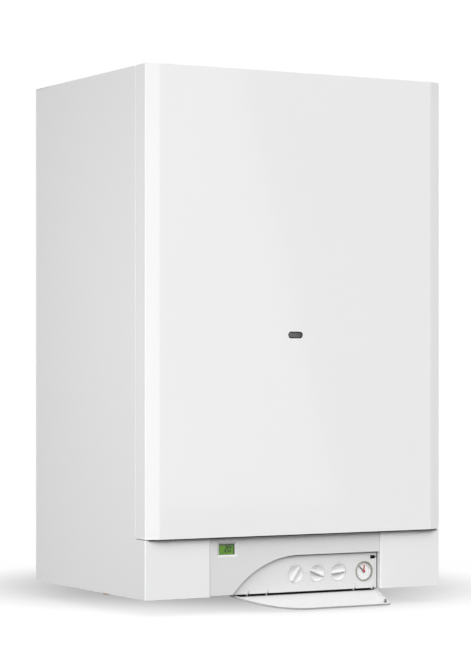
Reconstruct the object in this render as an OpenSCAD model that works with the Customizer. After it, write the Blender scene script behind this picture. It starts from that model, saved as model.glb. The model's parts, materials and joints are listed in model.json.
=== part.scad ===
// Wall-hung gas boiler, made of separate sheet, plastic and brass pieces.
// Lengths are in millimetres. X runs along the wall, the wall is the plane y = 0,
// the front faces -Y, and the origin is midway between the two wall screws.

/* [Case] */
// Width of the case along the wall
case_w = 592; // [560:1:640]
// Height of the case
case_h = 900; // [880:1:960]
// Depth from the wall to the face of the lower posts
case_d = 438; // [430:1:470]
// Thickness of the case's sheet steel
sheet = 1.2; // [0.8:0.1:1.6]
// Width of the folded flanges that join the sheets
flange_w = 15; // [12:1:18]
// Distance from the wall of the step in each side panel
step_y = 54.7; // [30:0.1:80]
// Depth of that step
step_d = 0.5; // [0.2:0.1:1]
// Width of each lower front post
post_w = 124.7; // [112:0.1:130]
// Depth of the post's inner return
post_return = 23; // [20:1:40]

/* [Wall rails] */
// Thickness of the two rails that stand against the wall
rail_t = 3; // [2:0.5:5]
// Length of the rails
rail_l = 524; // [440:2:530]
// Height of the rails
rail_h = 50; // [30:1:60]
// Distance between the two wall screws
screw_pitch = 400; // [300:1:420]
// Radius of the holes for the wall screws
wall_hole_r = 5; // [4:0.5:7]
// Drop of the wall screws below the top of the case
hang_drop = 60; // [50:1:90]
// Height of the lower rail's centre above the bottom
low_rail_z = 80; // [60:1:120]

/* [Front panel] */
// Thickness of the front panel
panel_t = 1; // [0.8:0.1:1.5]
// How far the front panel stands proud of the lower posts
panel_proud = 8.3; // [4:0.1:14]
// Width of the bevelled band down each upright edge
bevel_w = 23.3; // [14:0.1:30]
// Height of the front panel's lower edge
panel_z = 101.6; // [98:0.1:110]
// Depth of the panel's folded sides behind the face of the posts
panel_return = 36; // [30:1:50]
// Width of the panel's rear hem and of the flange behind it
hem_w = 20; // [18:1:24]
// Gap between the front panel and the side panels
side_seam = 0.4; // [0.2:0.1:0.8]
// Gap under the front panel
low_seam = 1.2; // [0.8:0.1:2]
// Width of the sight window
window_w = 29.3; // [20:0.1:40]
// Height of the sight window
window_h = 11.8; // [8:0.1:16]
// Place of the sight window from the middle of the panel
window_x = -8; // [-60:1:60]
// Height of the sight window above the bottom
window_z = 446.5; // [400:0.5:600]
// Thickness of the window glass's rim
glass_t = 2; // [1.5:0.1:4]

/* [Panel catches] */
// Radius of the ball on each stud
ball_r = 4; // [3:0.1:5]
// Radius of each stud's thread
stud_r = 2.5; // [2:0.1:3]
// Length of each stud in front of its flange
stud_l = 13.4; // [12:0.1:18]
// Wall of each catch cup
cup_wall = 2.6; // [1.5:0.1:2.8]
// Height of the lower studs above the panel's lower edge
catch_low = 78; // [40:1:120]
// Drop of the upper studs below the top of the case
catch_drop = 70; // [50:1:120]

/* [Control panel] */
// How far the control panel sits behind the face of the posts
fascia_inset = 2; // [1:0.1:4]
// Thickness of the control panel's moulding
fascia_t = 2.5; // [2:0.1:3]
// Gap between the control panel and each post
fascia_gap = 0.5; // [0.3:0.1:1.5]
// Height of the control panel's lower edge
fascia_z = 1; // [0.5:0.1:2]
// Depth of the recess floor behind the face of the posts
recess_d = 8; // [7:0.1:9]
// Thickness of the recess floor
floor_t = 2; // [1.5:0.1:2.4]
// Wall round the recess
edge_t = 1.4; // [1:0.1:2]
// Height of the recess's straight top edge
recess_top = 64.7; // [60:0.1:68]
// Radius of the recess's curved edge
arc_r = 168; // [150:1:190]
// Place of that arc's centre from the middle of the panel
arc_x = 5.5; // [-10:0.5:20]
// Width of the latch slot in the recess floor
latch_w = 6.5; // [5:0.1:8]
// Height of the latch slot
latch_h = 6.2; // [5:0.1:8]
// Height of the latch slot's centre
latch_z = 55.4; // [50:0.1:58]

/* [Display] */
// Width of the display that shows
display_w = 30.6; // [24:0.1:40]
// Height of the display that shows
display_h = 19.5; // [14:0.1:22]
// Distance of the display's centre from the control panel's left edge
display_in = 33.6; // [28:0.1:50]
// Height of the display's centre
display_z = 80.6; // [79:0.1:84]
// Width of the bevel beside the display
display_bevel_x = 4; // [2:0.1:6]
// Width of the bevel above and below the display
display_bevel_z = 2.6; // [1:0.1:3]
// Thickness of the display module
display_t = 9; // [6:0.5:12]

/* [Flap] */
// Thickness of the flap's sheet
flap_t = 1.8; // [1.2:0.1:2.4]
// Depth of the flap with its rim
flap_d = 3; // [2.6:0.1:3.4]
// Width of the flap's rim
flap_rim = 1.2; // [1:0.1:2]
// Gap round the closed flap
flap_gap = 0.4; // [0.3:0.1:1]
// Depth of the flap's pivot behind the face of the posts
flap_pivot_d = 12.6; // [12.4:0.1:13]
// Height of the flap's pivot
flap_pivot_z = 6.4; // [6.2:0.1:7]
// Angle of the open flap from closed
flap_open = 114; // [90:1:116]
// Width of each hook
hook_w = 2.8; // [2:0.1:4]
// Thickness of each hook
hook_t = 2; // [1.5:0.1:2.2]
// Gap between each hook and its pin
hook_gap = 0.2; // [0.1:0.05:0.3]
// Distance between the two hooks of a pair
hook_pitch = 38.3; // [30:0.1:50]
// Distance of the left pair's centre from the control panel's middle
left_pair = 75.2; // [60:0.1:90]
// Distance of the right pair's centre from the recess's right wall
right_pair = 28.8; // [28:0.1:34]

/* [Knobs] */
// Radius of each knob
knob_r = 15.7; // [13:0.1:17]
// Length of each knob behind the recess floor
knob_l = 13; // [11:0.5:14]
// Depth of the dish in each knob
dish_d = 4.5; // [2:0.1:6]
// Width of the rim round that dish
knob_rim = 1.5; // [1:0.1:3]
// Thickness of the grip bar
bar_t = 3.2; // [2.5:0.1:5]
// How far the grip bar stands out of the recess floor
bar_out = 2.2; // [1:0.1:2.6]
// Gap between each knob and its hole
knob_gap = 0.3; // [0.2:0.05:0.6]
// Distance between knobs
knob_pitch = 43.5; // [40:0.1:46]
// Height of the knobs' centres
knob_z = 31.7; // [30:0.1:36]
// Radius of the knobs' shafts
shaft_r = 3; // [2:0.1:4]
// Angles of the three grip bars, clockwise from upright
bar_turns = [33, 114, 84.6];

/* [Gauge] */
// Radius of the gauge's bezel
bezel_r = 17.7; // [16:0.1:18.5]
// Thickness of the bezel in front of the floor
bezel_t = 1.6; // [1.4:0.1:2.4]
// Radius of the gauge's case
can_r = 16.4; // [15:0.1:17]
// Wall of the gauge's case
can_wall = 1.2; // [0.8:0.1:1.6]
// Length of the gauge's case
can_l = 26; // [20:1:30]
// Distance of the gauge's centre from the recess's right wall
gauge_in = 27.3; // [24:0.1:30]
// Distance from the gauge's centre to the nearest knob's
gauge_to_knob = 53.5; // [48:0.1:56]
// Height of the gauge's centre
gauge_z = 31.3; // [31:0.1:36]
// Angle of the black hand, clockwise from upright
hand_turn = -45; // [-135:1:135]
// Angle of the red hand, clockwise from upright
set_turn = 8; // [-100:1:100]

/* [Control box] */
// Wall of the control box
box_t = 2; // [1.5:0.1:2.5]
// Depth of the tilt pivot behind the face of the posts
tilt_d = 14; // [13:0.1:15]
// Height of the tilt pivot
tilt_z = 10; // [9.5:0.1:12]
// Radius of the tilt pins
tilt_pin_r = 3; // [2:0.1:3.5]
// Clearance of the control box under the front panel as it tilts
swing_gap = 2.1; // [1.8:0.1:4]
// Thickness of the main circuit board
board_t = 1.6; // [1:0.1:2]
// Distance of the main board behind the recess floor
board_back = 20; // [18:0.5:24]

/* [Chamber] */
// Gap between the sealed chamber and the top of the case
chamber_drop = 15; // [12:1:20]
// Width of the sealed chamber
chamber_w = 470; // [460:1:500]
// Space between the sealed chamber and the wall
chamber_back = 116; // [112:1:125]
// Width of the cover's lap on the chamber's front flange
cover_lap = 33; // [24:1:36]

/* [Burner] */
// Height of the burner tray
tray_h = 54; // [50:1:60]
// Space between the combustion shell and the chamber's side
shell_side = 73; // [70:1:80]
// Depth of the combustion shell
shell_d = 194; // [184:1:200]
// Height of the combustion shell
shell_h = 215; // [190:1:230]
// Width of each burner bar
burner_w = 14; // [10:1:18]
// Distance between burner bars
burner_pitch = 24; // [22:1:25]
// Radius of the gas manifold
manifold_r = 9; // [8:0.5:10]
// Thickness of the insulation boards
board_ins = 12; // [8:1:16]
// Radius of the electrodes' ceramic
ceramic_r = 4; // [3:0.5:5]

/* [Exchanger] */
// Height of the exchanger's jacket
jacket_h = 90; // [84:1:100]
// Thickness of each fin
fin_t = 1.2; // [0.8:0.1:2]
// Distance between fins
fin_pitch = 14; // [12:0.5:14.5]
// Radius of the exchanger's tubes
tube_r = 9; // [8:0.5:10]

/* [Fan and flue] */
// Height of the sloping flue hood
hood_h = 60; // [50:1:70]
// Radius of the fan housing
fan_r = 56; // [50:1:60]
// Depth of the fan housing
fan_d = 60; // [54:1:66]
// Radius of the fan's inlet
inlet_r = 38; // [30:1:42]
// Radius of the fan motor
fan_motor_r = 30; // [24:1:34]
// Length of the fan motor
fan_motor_l = 55; // [45:1:60]
// Outer radius of the fan's outlet spigot
spigot_r = 28; // [25:0.5:30]
// Outer radius of the flue collar
collar_r = 50; // [45:0.5:55]
// Height of the flue collar above the case
collar_h = 18; // [15:1:25]

/* [Vessel] */
// Radius of the expansion vessel
vessel_r = 180; // [150:1:190]
// Thickness of the expansion vessel
vessel_t = 100; // [80:1:104]
// Drop of the vessel's centre below the top of the case
vessel_drop = 300; // [280:1:320]

/* [Water side] */
// Distance of the riser pipes from the chamber's side
riser_in = 45; // [42:1:50]
// Outer radius of the heating and gas pipes
pipe_r = 11; // [9:0.5:12]
// Outer radius of the tap water pipes
small_pipe_r = 7.5; // [6:0.5:8]
// Wall of the pipes
pipe_wall = 1; // [0.8:0.1:1.5]
// Distance of the pipe unions from the wall
union_y = 90; // [80:1:100]
// Thread radius of the heating and gas unions
big_union_r = 13.2; // [12:0.1:14]
// Thread radius of the tap water unions
small_union_r = 10.5; // [9:0.1:11]
// Length of the unions below the case
union_l = 22; // [18:1:24]
// Place of the gas union along the wall
gas_x = -30; // [-35:1:-25]
// Height of the pump's centre
pump_z = 150; // [145:1:160]
// Radius of the pump's volute
volute_r = 45; // [40:1:48]
// Length of the pump's two ports
port_l = 45; // [40:1:50]
// Radius of the pump motor
pump_motor_r = 42; // [36:1:46]
// Length of the pump motor
pump_motor_l = 90; // [70:1:100]
// Height of the three-way valve's centre
valve_z = 130; // [125:1:140]
// Distance between the plate exchanger and the middle of the safety valve
plate_gap = 45; // [40:1:55]
// Height of the plate exchanger
plate_h = 74; // [60:1:76]
// Number of plate pairs in the plate exchanger
plate_pairs = 15; // [8:1:18]

/* [Hidden] */
$fn = 64;

// Clearance of a piece that seats on another
seat = 0.1;
// Clearance round a pin or shaft that turns
run_gap = 0.1;
// Overshoot of every cut past the face that it opens
cut = 1;
// Gap that keeps moving pieces off their neighbours
free = 0.3;
// Overlap that joins two shapes of one piece
bite = 0.5;

// Case planes
half_w = case_w / 2;
face_y = -case_d;
panel_y = face_y - panel_proud;
flange_y = face_y + panel_return + side_seam;
hem_y = face_y + panel_return;
back_y = -(rail_t + sheet);
post_x = half_w - post_w;
post_top = panel_z - low_seam;
rear_x = half_w - step_d - sheet;
fold_x = half_w - sheet;
hang_z = case_h - hang_drop;
lid_z = case_h - sheet;
panel_margin = 4;
tray_step = -step_y - step_d - sheet;

// Sight window
glass_inset = 0.2;
glass_lap = 4;
port_lap = 3;

// Studs and screws
stud_x = half_w - hem_w / 2;
stud_z = [panel_z + catch_low, case_h - catch_drop];
neck_r = 2;
collar_t = 0.6;
nut_r = 5;
nut_t = 4;
cup_gap = 0.2;
cup_rim_r = 8.6;
cup_rim_t = 1.5;
cup_floor = 2;
ball_end = 0.5;
thread_end = 1;
screw_r = 1.9;
screw_hole_r = 2.05;
screw_head_r = 3.8;
screw_head_t = 1.8;
screw_l = 6;
rear_screw_x = rear_x - flange_w / 2;
screw_margin = 60;
rear_screws = [for (i = [0:4]) screw_margin + i * (case_h - 2 * screw_margin) / 4];
lid_screw_x = fold_x - flange_w / 2;
lid_margin = 30;
lid_screws = [for (i = [0:3]) -lid_margin + i * (flange_y + 2 * lid_margin) / 3];

// Control panel planes
fascia_hw = post_x - fascia_gap;
fascia_y = face_y + fascia_inset;
plate_back = fascia_y + fascia_t;
floor_y = face_y + recess_d;
floor_back = floor_y + floor_t;
top_gap = 0.9;
fascia_top = post_top - top_gap;
recess_x = fascia_hw - edge_t;
arc_z = recess_top - arc_r;
latch_in = 10.8;
latch_x = recess_x - latch_in;
slit_hw = 0.7;
display_x = display_in - fascia_hw;
gauge_x = recess_x - gauge_in;
knob_x = [for (i = [2:-1:0]) gauge_x - gauge_to_knob - i * knob_pitch];
well_r = knob_r + knob_gap + edge_t;
knob_hole_r = knob_r + knob_gap;
board_y = floor_y + board_back + floor_t;

// Flap, drawn closed and then opened about its pivot
flap_py = face_y + flap_pivot_d;
flap_y = fascia_y;
hook_r = flap_py - flap_y - flap_d;
hook_pin_r = hook_r - hook_t - hook_gap;
hook_sweep = 150;
hook_foot = 3;
hook_slot = 0.2;
slot_low = 2.9;
slot_high = 7.4;
pin_reach = 3.6;
foot_sink = 0.8;
hook_x = [-left_pair - hook_pitch / 2, -left_pair + hook_pitch / 2,
    recess_x - right_pair - hook_pitch / 2, recess_x - right_pair + hook_pitch / 2];
flap_drop = 0.5;
flap_z = fascia_z - flap_drop;
nub = 4;
nub_reach = 0.4;

// Control box, a drum sector about the tilt pivot
tilt_y = face_y + tilt_d;
drum_r = panel_z - tilt_z - swing_gap;
box_gap = 1.5;
box_hw = fascia_hw - box_gap;
box_drop = 6;
box_z = tilt_z - box_drop;
hook_room = 0.8;
box_front = flap_py + hook_r + hook_room;
tray_gap = 2.5;
tray_front = tilt_y + drum_r + tray_gap;

// Chamber stack, built downwards from the top of the case
chamber_top = case_h - chamber_drop;
spigot_h = 12;
stack_gap = 3.6;
fan_lift = 6;
chamber_h = 2 * sheet + tray_h + shell_h + jacket_h + hood_h + 2 * fan_r + fan_lift + spigot_h + stack_gap;
chamber_z = chamber_top - chamber_h;
chamber_hw = chamber_w / 2;
rim_y = flange_y + sheet;
core_y = (rim_y - chamber_back) / 2;
tray_top = chamber_z + sheet + tray_h;
shell_top = tray_top + shell_h;
jacket_top = shell_top + jacket_h;
hood_top = jacket_top + hood_h;
fan_z = hood_top + fan_lift + fan_r;
fan_top = fan_z + fan_r;
shell_hw = chamber_hw - shell_side;
shell_hd = shell_d / 2;
tray_in = 7;
lip = 3;
burner_margin = 18;
bar_count = floor(2 * (shell_hw - burner_margin) / burner_pitch);
burner_x = [for (i = [0:bar_count - 1]) (i - (bar_count - 1) / 2) * burner_pitch];
burner_depth = 40;
burner_rise = 10;
bar_gap = 4;
bar_ear = 6.5;
ear_t = 2.5;
tray_wall = 1.5;
venturi_r = 5;
venturi_l = 30;
injector_r = 2.5;
injector_drop = 13;
injector_z = tray_top - injector_drop;
manifold_gap = 7;
manifold_y = core_y - shell_hd - manifold_gap;
manifold_end = 12;
bracket_in = 10;
bracket_hw = 5;
bracket_hh = 7;
stub_rise = 10;
stub_z = chamber_z + stub_rise;
electrode_rise = 40;
electrode_z = tray_top + electrode_rise;
electrode_x = [-70, -56, 64];
electrode_out = 18;
electrode_in = 20;
electrode_l = 60;
electrode_collar = 2.5;
electrode_collar_t = 3;
electrode_tip_r = 1.2;
electrode_gap = 0.2;
board_lift = 5;
cover_hw = half_w - cover_lap;
rim_in = 5;
rim_x = half_w - rim_in;
rim_low = 12;
rim_high = 8;
rim_z = [chamber_z - rim_low, chamber_top + rim_high];
cover_in = 4;
cover_z = [rim_z[0] + cover_in, rim_z[1] - cover_in];
cover_screw_in = 7;
cover_screw_x = cover_hw - cover_screw_in;
cover_margin = 20;
cover_span = cover_z[1] - cover_z[0] - 2 * cover_margin;
cover_screws = [for (i = [0:3]) cover_z[0] + cover_margin + i * cover_span / 3];
pipe_gap = 0.5;

// Exchanger
tube_pitch = 40;
tube_wall = 1;
fin_in = 7;
fin_margin = 22;
fin_count = floor(2 * (shell_hw - fin_margin) / fin_pitch);
tube_y = [for (i = [-1.5:1:1.5]) core_y + i * tube_pitch];
tube_z = shell_top + jacket_h / 2;
header_h = 60;
header_wall = 3;
riser_x = chamber_hw - riser_in;
riser_back = 85;
riser_y = core_y + riser_back;
header_side = 10;
header_front = 75;
header_back = 15;
header_out = riser_x + pipe_r + header_side;
header_y = [core_y - header_front, riser_y + header_back];
header_z = [tube_z - header_h / 2, tube_z + header_h / 2];

// Fan
duct_w = 54;
duct_wall = 1.5;
fan_x = duct_w / 2 - fan_r;
fan_back = core_y + fan_d / 2;
fan_front = fan_back - fan_d;
riser_box = [60, 55, 50];
fan_shaft_r = 4;
shaft_room = 1;
eye_step = 10;
eye_r = inlet_r - eye_step;
spigot_wall = 2;
blade_count = 16;
wheel_gap = 8;
wheel_r = fan_r - wheel_gap;
wheel_side = 6;
wheel_t = 1.5;
wheel_hub_r = 12;
hub_short = 12;
blade_t = 1.6;
blade_w = 13;
blade_in = 1;
motor_flange = 8;
motor_flange_t = 5;
motor_floor = 10;
wheel_end = 4;

// Water side
cold_gap = 130;
hot_gap = 70;
union_x = [-riser_x, hot_gap - riser_x, gas_x, riser_x - cold_gap, riser_x];
union_r = [big_union_r, small_union_r, big_union_r, small_union_r, big_union_r];
union_top = 16;
shoulder = 1.4;
washer = 1.2;
hex_grow = 3.8;
hex_h = 10;
low_run = 38;
flow_run = 50;
bend_r = 18;
small_bend = 14;
pump_hd = 22;
pump_back = riser_y + pump_hd;
pump_front = riser_y - pump_hd;
pump_wall = 7;
pump_side = 6;
pump_mouth = 10;
pump_motor_floor = 12;
pump_shaft_gap = 4;
terminal_hw = 24;
terminal_in = 10;
terminal_out = 20;
terminal_h = 14;
rotor_r = 13;
rotor_side = 9;
rotor_t = 3;
rotor_hub_r = 10;
rotor_back = 8;
vane_count = 6;
vane_hw = 1;
vane_in = 8;
vane_r = 14;
pump_low = pump_z - volute_r - port_l;
pump_high = pump_z + volute_r + port_l;
port_wall = 4;
port_r = pipe_r + port_wall;
pump_shaft_r = 5;
valve_hw = 18;
valve_hd = 25;
valve_hh = 40;
valve_port = 12;
valve_arm = 22;
arm_r = 12;
arm_bore = 8;
stem_r = 4;
stem_room = 7;
stem_chamber = 20;
stem_l = 65;
stem_back = 8;
stem_disc = 6;
stem_disc_t = 4;
actuator_hw = 22;
actuator_d = 50;
actuator_hh = 28;
actuator_bore = 44;
plate_x = valve_hw + valve_arm - riser_x;
plate_hd = 30;
plate_step = 1.5;
plate_bite = 0.1;
tap_drop = 20;
tap_run = valve_z - tap_drop;
gas_back = 107;
gas_y = riser_y - gas_back;
gas_drop = 150;
gas_hw = 35;
gas_h = 80;
gas_valve_z = [chamber_z - gas_drop, chamber_z - gas_drop + gas_h];
coil_off = 17;
coil_rise = 48;
coil_r = 14;
coil_l = 31;
regulator_rise = 30;
regulator_r = 13;
regulator_l = 20;
turn_drop = 35;
gas_turn = chamber_z - turn_drop;
tap_in = 65;
tap_x = riser_x - tap_in;
tap_y = -140;
tap_r = 12;
tap_rise = 12;
tap_bore_z = 28;
link_r = 6;
link_gap = 0.2;
handle_r = 12;
handle_z = [-18, -6];
handle_top = 24;
handle_root = 2;
stem_gap = 2;
flute_count = 8;
flute_hw = 1.5;
flute_in = 1;
flute_out = 1.5;
relief_gap = 20;
relief_x = riser_x - volute_r - relief_gap;
relief_r = 12;
relief_low = 28;
relief_high = 25;
relief_pin_r = 3;
relief_bore = 10;
outlet_r = 7;
outlet_l = 12;
cap_r = 15;
cap_h = 20;
cap_pin = 6;
grip_count = 6;
grip_hw = 2;
grip_in = 1;
grip_out = 2;
plate_l = relief_x - plate_gap - plate_x;
vessel_z = case_h - vessel_drop;
vessel_y = back_y - vessel_t / 2;
vessel_round = 30;
nipple_r = 8;
nipple_l = 12;
nipple_root = 2;
nipple_z = vessel_z - vessel_r - nipple_l;
loop_rise = 100;
loop_z = pump_z + loop_rise;
loop_r = 5;

// Geometry helpers
function unit(v) = v / norm(v);
function left_of(a, b) = let (d = unit(b - a)) [-d[1], d[0]];
function mitre(p, i, t) = let (n = len(p) - 1)
    i == 0 ? p[0] + t * left_of(p[0], p[1])
    : i == n ? p[n] + t * left_of(p[n - 1], p[n])
    : let (a = left_of(p[i - 1], p[i]), b = left_of(p[i], p[i + 1])) p[i] + t * (a + b) / (1 + a * b);

// Lowers a piece drawn from the bottom of the case to the origin at the wall screws
module hung() translate([0, 0, -hang_z]) children();

// Box between two corners
module block(a, b) translate(a) cube(b - a);

// Plates drawn face on: x-z along y, y-z along x, x-y along z
module slab_y(a, b) translate([0, b, 0]) rotate([90, 0, 0]) linear_extrude(b - a) children();
module slab_x(a, b) translate([a, 0, 0]) rotate([90, 0, 90]) linear_extrude(b - a) children();
module slab_z(a, b) translate([0, 0, a]) linear_extrude(b - a) children();

// Round bars along each axis, between two planes
module disc_y(c, r, a, b) translate([c[0], a, c[1]]) rotate([-90, 0, 0]) cylinder(r = r, h = b - a);
module disc_x(c, r, a, b) translate([a, c[0], c[1]]) rotate([0, 90, 0]) cylinder(r = r, h = b - a);
module disc_z(c, r, a, b) translate([c[0], c[1], a]) cylinder(r = r, h = b - a);

// Folded sheet: a path of corners given thickness t to its left, or to its right if t is negative
module folded(p, t) polygon(concat(p, [for (i = [len(p) - 1:-1:0]) mitre(p, i, t)]));

// Rounded bar outline, w wide over all and h high
module pill(w, h) {
    square([w - h, h], center = true);
    for (s = [-1, 1]) translate([s * (w - h) / 2, 0]) circle(d = h);
}

// Places a piece drawn along +Z at point a, pointing along d
module along(a, d) {
    u = abs(d[2]) > 0.5 ? [1, 0, 0] : [0, 0, 1];
    w = cross(d, u);
    multmatrix([[u[0], w[0], d[0], a[0]], [u[1], w[1], d[1], a[1]], [u[2], w[2], d[2], a[2]]]) children();
}

// Quarter bend at corner p, from direction d to direction e
module elbow(p, d, e, bend) {
    c = p + bend * (e - d);
    n = cross(d, e);
    multmatrix([[-e[0], d[0], n[0], c[0]], [-e[1], d[1], n[1], c[1]], [-e[2], d[2], n[2], c[2]]])
        rotate_extrude(angle = 90) translate([bend, 0]) children();
}

// Pipe through square corners, each rounded to a quarter bend
module pipe(p, r, bend) {
    last = len(p) - 1;
    for (i = [0:last - 1]) {
        d = unit(p[i + 1] - p[i]);
        a = p[i] + d * (i == 0 ? 0 : bend);
        b = p[i + 1] - d * (i == last - 1 ? 0 : bend);
        along(a, d) linear_extrude(norm(b - a)) pipe_ring(r);
    }
    for (i = [1:1:last - 1])
        elbow(p[i], unit(p[i] - p[i - 1]), unit(p[i + 1] - p[i]), bend) pipe_ring(r);
}

module pipe_ring(r) difference() {
    circle(r);
    circle(r - pipe_wall);
}

// Rectangular tube standing on z = a: half sizes hx and hy about the chamber's core
module shaft_wall(hx, hy, t, a, b) difference() {
    block([-hx, core_y - hy, a], [hx, core_y + hy, b]);
    block([t - hx, core_y - hy + t, a - cut], [hx - t, core_y + hy - t, b + cut]);
}

// Pan-head screw along +Z, its head below z = 0
module screw() {
    cylinder(r = screw_r, h = screw_l);
    translate([0, 0, -screw_head_t]) cylinder(r = screw_head_r, h = screw_head_t);
}

// Right-hand side panel: upper wall, lower post and their flanges in one folded sheet
module side_panel() difference() {
    union() {
        slab_z(0, post_top) folded([[half_w - step_d, 0], [half_w - step_d, -step_y],
            [half_w, -step_y - step_d], [half_w, face_y], [post_x, face_y], [post_x, face_y + post_return]],
            -sheet);
        slab_z(post_top - sheet, lid_z) folded([[half_w - step_d, 0], [half_w - step_d, -step_y],
            [half_w, -step_y - step_d], [half_w, flange_y], [half_w - hem_w, flange_y]], -sheet);
        block([post_x, face_y, post_top - sheet], [half_w, flange_y, post_top]);
        block([rear_x - flange_w, back_y - sheet, panel_margin],
            [rear_x + sheet / 2, back_y, lid_z - sheet]);
        block([fold_x - flange_w, rim_y, lid_z - sheet], [fold_x + sheet / 2, -step_y - step_d, lid_z]);
        block([fold_x - flange_w, tray_front, 0], [fold_x + sheet / 2, -step_y - step_d, sheet]);
        block([post_x, face_y, 0], [half_w, tray_front, sheet]);
        disc_x([tilt_y, tilt_z], tilt_pin_r, box_hw - box_t - free, post_x + sheet);
    }
    for (z = stud_z) disc_y([stud_x, z], stud_r + seat, flange_y - cut, rim_y + cut);
    for (z = rear_screws) disc_y([rear_screw_x, z], screw_hole_r, back_y - sheet - cut, back_y + cut);
    for (y = lid_screws) disc_z([lid_screw_x, y], screw_hole_r, lid_z - sheet - cut, lid_z + cut);
}

module right_side_panel() color("whitesmoke") hung() side_panel();

module left_side_panel() color("whitesmoke") hung() mirror([1, 0, 0]) side_panel();

module back_panel() color("lightgray") hung() difference() {
    block([seat - rear_x, back_y, panel_margin], [rear_x - seat, -rail_t, case_h - panel_margin]);
    for (s = [-1, 1]) {
        disc_y([s * screw_pitch / 2, hang_z], wall_hole_r * 2, back_y - cut, cut - rail_t);
        for (z = rear_screws) disc_y([s * rear_screw_x, z], screw_hole_r, back_y - cut, cut - rail_t);
    }
}

module wall_rails() color("silver") hung() difference() {
    for (z = [hang_z, low_rail_z])
        block([-rail_l / 2, -rail_t, z - rail_h / 2], [rail_l / 2, 0, z + rail_h / 2]);
    for (s = [-1, 1]) disc_y([s * screw_pitch / 2, hang_z], wall_hole_r, -rail_t - cut, cut);
}

module top_panel() color("whitesmoke") hung() difference() {
    block([-half_w, flange_y, lid_z], [half_w, 0, case_h]);
    disc_z([0, core_y], collar_r + free, lid_z - cut, case_h + cut);
    for (s = [-1, 1], y = lid_screws) disc_z([s * lid_screw_x, y], screw_hole_r, lid_z - cut, case_h + cut);
}

module bottom_tray() color("lightgray") hung() difference() {
    union() {
        block([sheet - half_w + seat, tray_front, sheet], [half_w - sheet - seat, tray_step, 2 * sheet]);
        block([seat - rear_x, tray_step - bite, sheet], [rear_x - seat, back_y - 2 * sheet, 2 * sheet]);
    }
    for (i = [0:4]) disc_z([union_x[i], -union_y], union_r[i] + seat, 0, 3 * sheet);
    disc_z([tap_x, tap_y], stem_r + stem_gap, 0, 3 * sheet);
}

// Outline of the front panel seen from above, from its face back to its rear edge
module panel_outline() polygon([[-half_w, hem_y], [-half_w, face_y], [bevel_w - half_w, panel_y],
    [half_w - bevel_w, panel_y], [half_w, face_y], [half_w, hem_y]]);

module front_panel() color("white") hung() difference() {
    union() {
        slab_z(panel_z, case_h) folded([[hem_w - half_w, hem_y], [-half_w, hem_y], [-half_w, face_y],
            [bevel_w - half_w, panel_y], [half_w - bevel_w, panel_y], [half_w, face_y], [half_w, hem_y],
            [half_w - hem_w, hem_y]], panel_t);
        slab_z(panel_z, panel_z + panel_t) panel_outline();
        slab_z(case_h - panel_t, case_h) panel_outline();
    }
    translate([window_x, 0, window_z]) slab_y(panel_y - cut, panel_y + panel_t + cut)
        pill(window_w, window_h);
    for (s = [-1, 1], z = stud_z)
        disc_y([s * stud_x, z], ball_r + cup_gap + cup_wall + seat, hem_y - panel_t - cut, hem_y + cut);
}

module panel_catches() color("dimgray") hung()
    for (s = [-1, 1], z = stud_z) difference() {
        union() {
            disc_y([s * stud_x, z], ball_r + cup_gap + cup_wall, flange_y - stud_l - ball_end - cup_floor,
                flange_y - collar_t - free);
            disc_y([s * stud_x, z], cup_rim_r, hem_y - panel_t - cup_rim_t, hem_y - panel_t);
        }
        disc_y([s * stud_x, z], ball_r + cup_gap, flange_y - stud_l - ball_end, flange_y);
    }

module panel_studs() color("silver") hung()
    for (s = [-1, 1], z = stud_z) {
        disc_y([s * stud_x, z], stud_r, flange_y, rim_y + sheet + nut_t + thread_end);
        disc_y([s * stud_x, z], ball_r, flange_y - collar_t, flange_y);
        disc_y([s * stud_x, z], neck_r, flange_y - stud_l + ball_r, flange_y);
        translate([s * stud_x, flange_y - stud_l + ball_r, z]) sphere(r = ball_r);
        translate([s * stud_x, rim_y + sheet, z]) rotate([-90, 0, 0])
            cylinder(r = nut_r, h = nut_t, $fn = 6);
    }

module sight_glass() color("black") hung() translate([window_x, 0, window_z]) {
    slab_y(panel_y + glass_inset, panel_y + panel_t + bite) pill(window_w - 2 * seat, window_h - 2 * seat);
    slab_y(panel_y + panel_t, panel_y + panel_t + glass_t) pill(window_w + 2 * glass_lap,
        window_h + 2 * glass_lap);
}

module case_screws() color("silver") hung() {
    for (s = [-1, 1]) {
        for (z = rear_screws) translate([s * rear_screw_x, -rail_t, z]) rotate([90, 0, 0]) screw();
        for (y = lid_screws) translate([s * lid_screw_x, y, case_h]) rotate([180, 0, 0]) screw();
        for (z = cover_screws) translate([s * cover_screw_x, flange_y, z]) rotate([-90, 0, 0]) screw();
    }
}

// Recess outline, grown outwards, cut off below z = low
module recess(grow, low) {
    intersection() {
        translate([arc_x, arc_z]) circle(r = arc_r + grow, $fn = 256);
        translate([arc_x - arc_r - grow, low]) square([arc_r + grow, recess_top + grow - low]);
    }
    translate([arc_x - cut, low]) square([recess_x + grow - arc_x + cut, recess_top + grow - low]);
}

// Sloping frame round the display, a cut that narrows from the face
module display_cut() {
    w = display_w / 2;
    h = display_h / 2;
    deep = fascia_inset + fascia_y;
    translate([display_x, 0, display_z]) {
        block([-w, fascia_y - cut, -h], [w, plate_back + cut, h]);
        intersection() {
            slab_z(-2 * h, 2 * h) polygon([[-w - display_bevel_x, fascia_y], [w + display_bevel_x, fascia_y],
                [w, deep], [-w, deep]]);
            slab_x(-2 * w, 2 * w) polygon([[fascia_y, -h - display_bevel_z], [fascia_y, h + display_bevel_z],
                [deep, h], [deep, -h]]);
        }
    }
}

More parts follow.
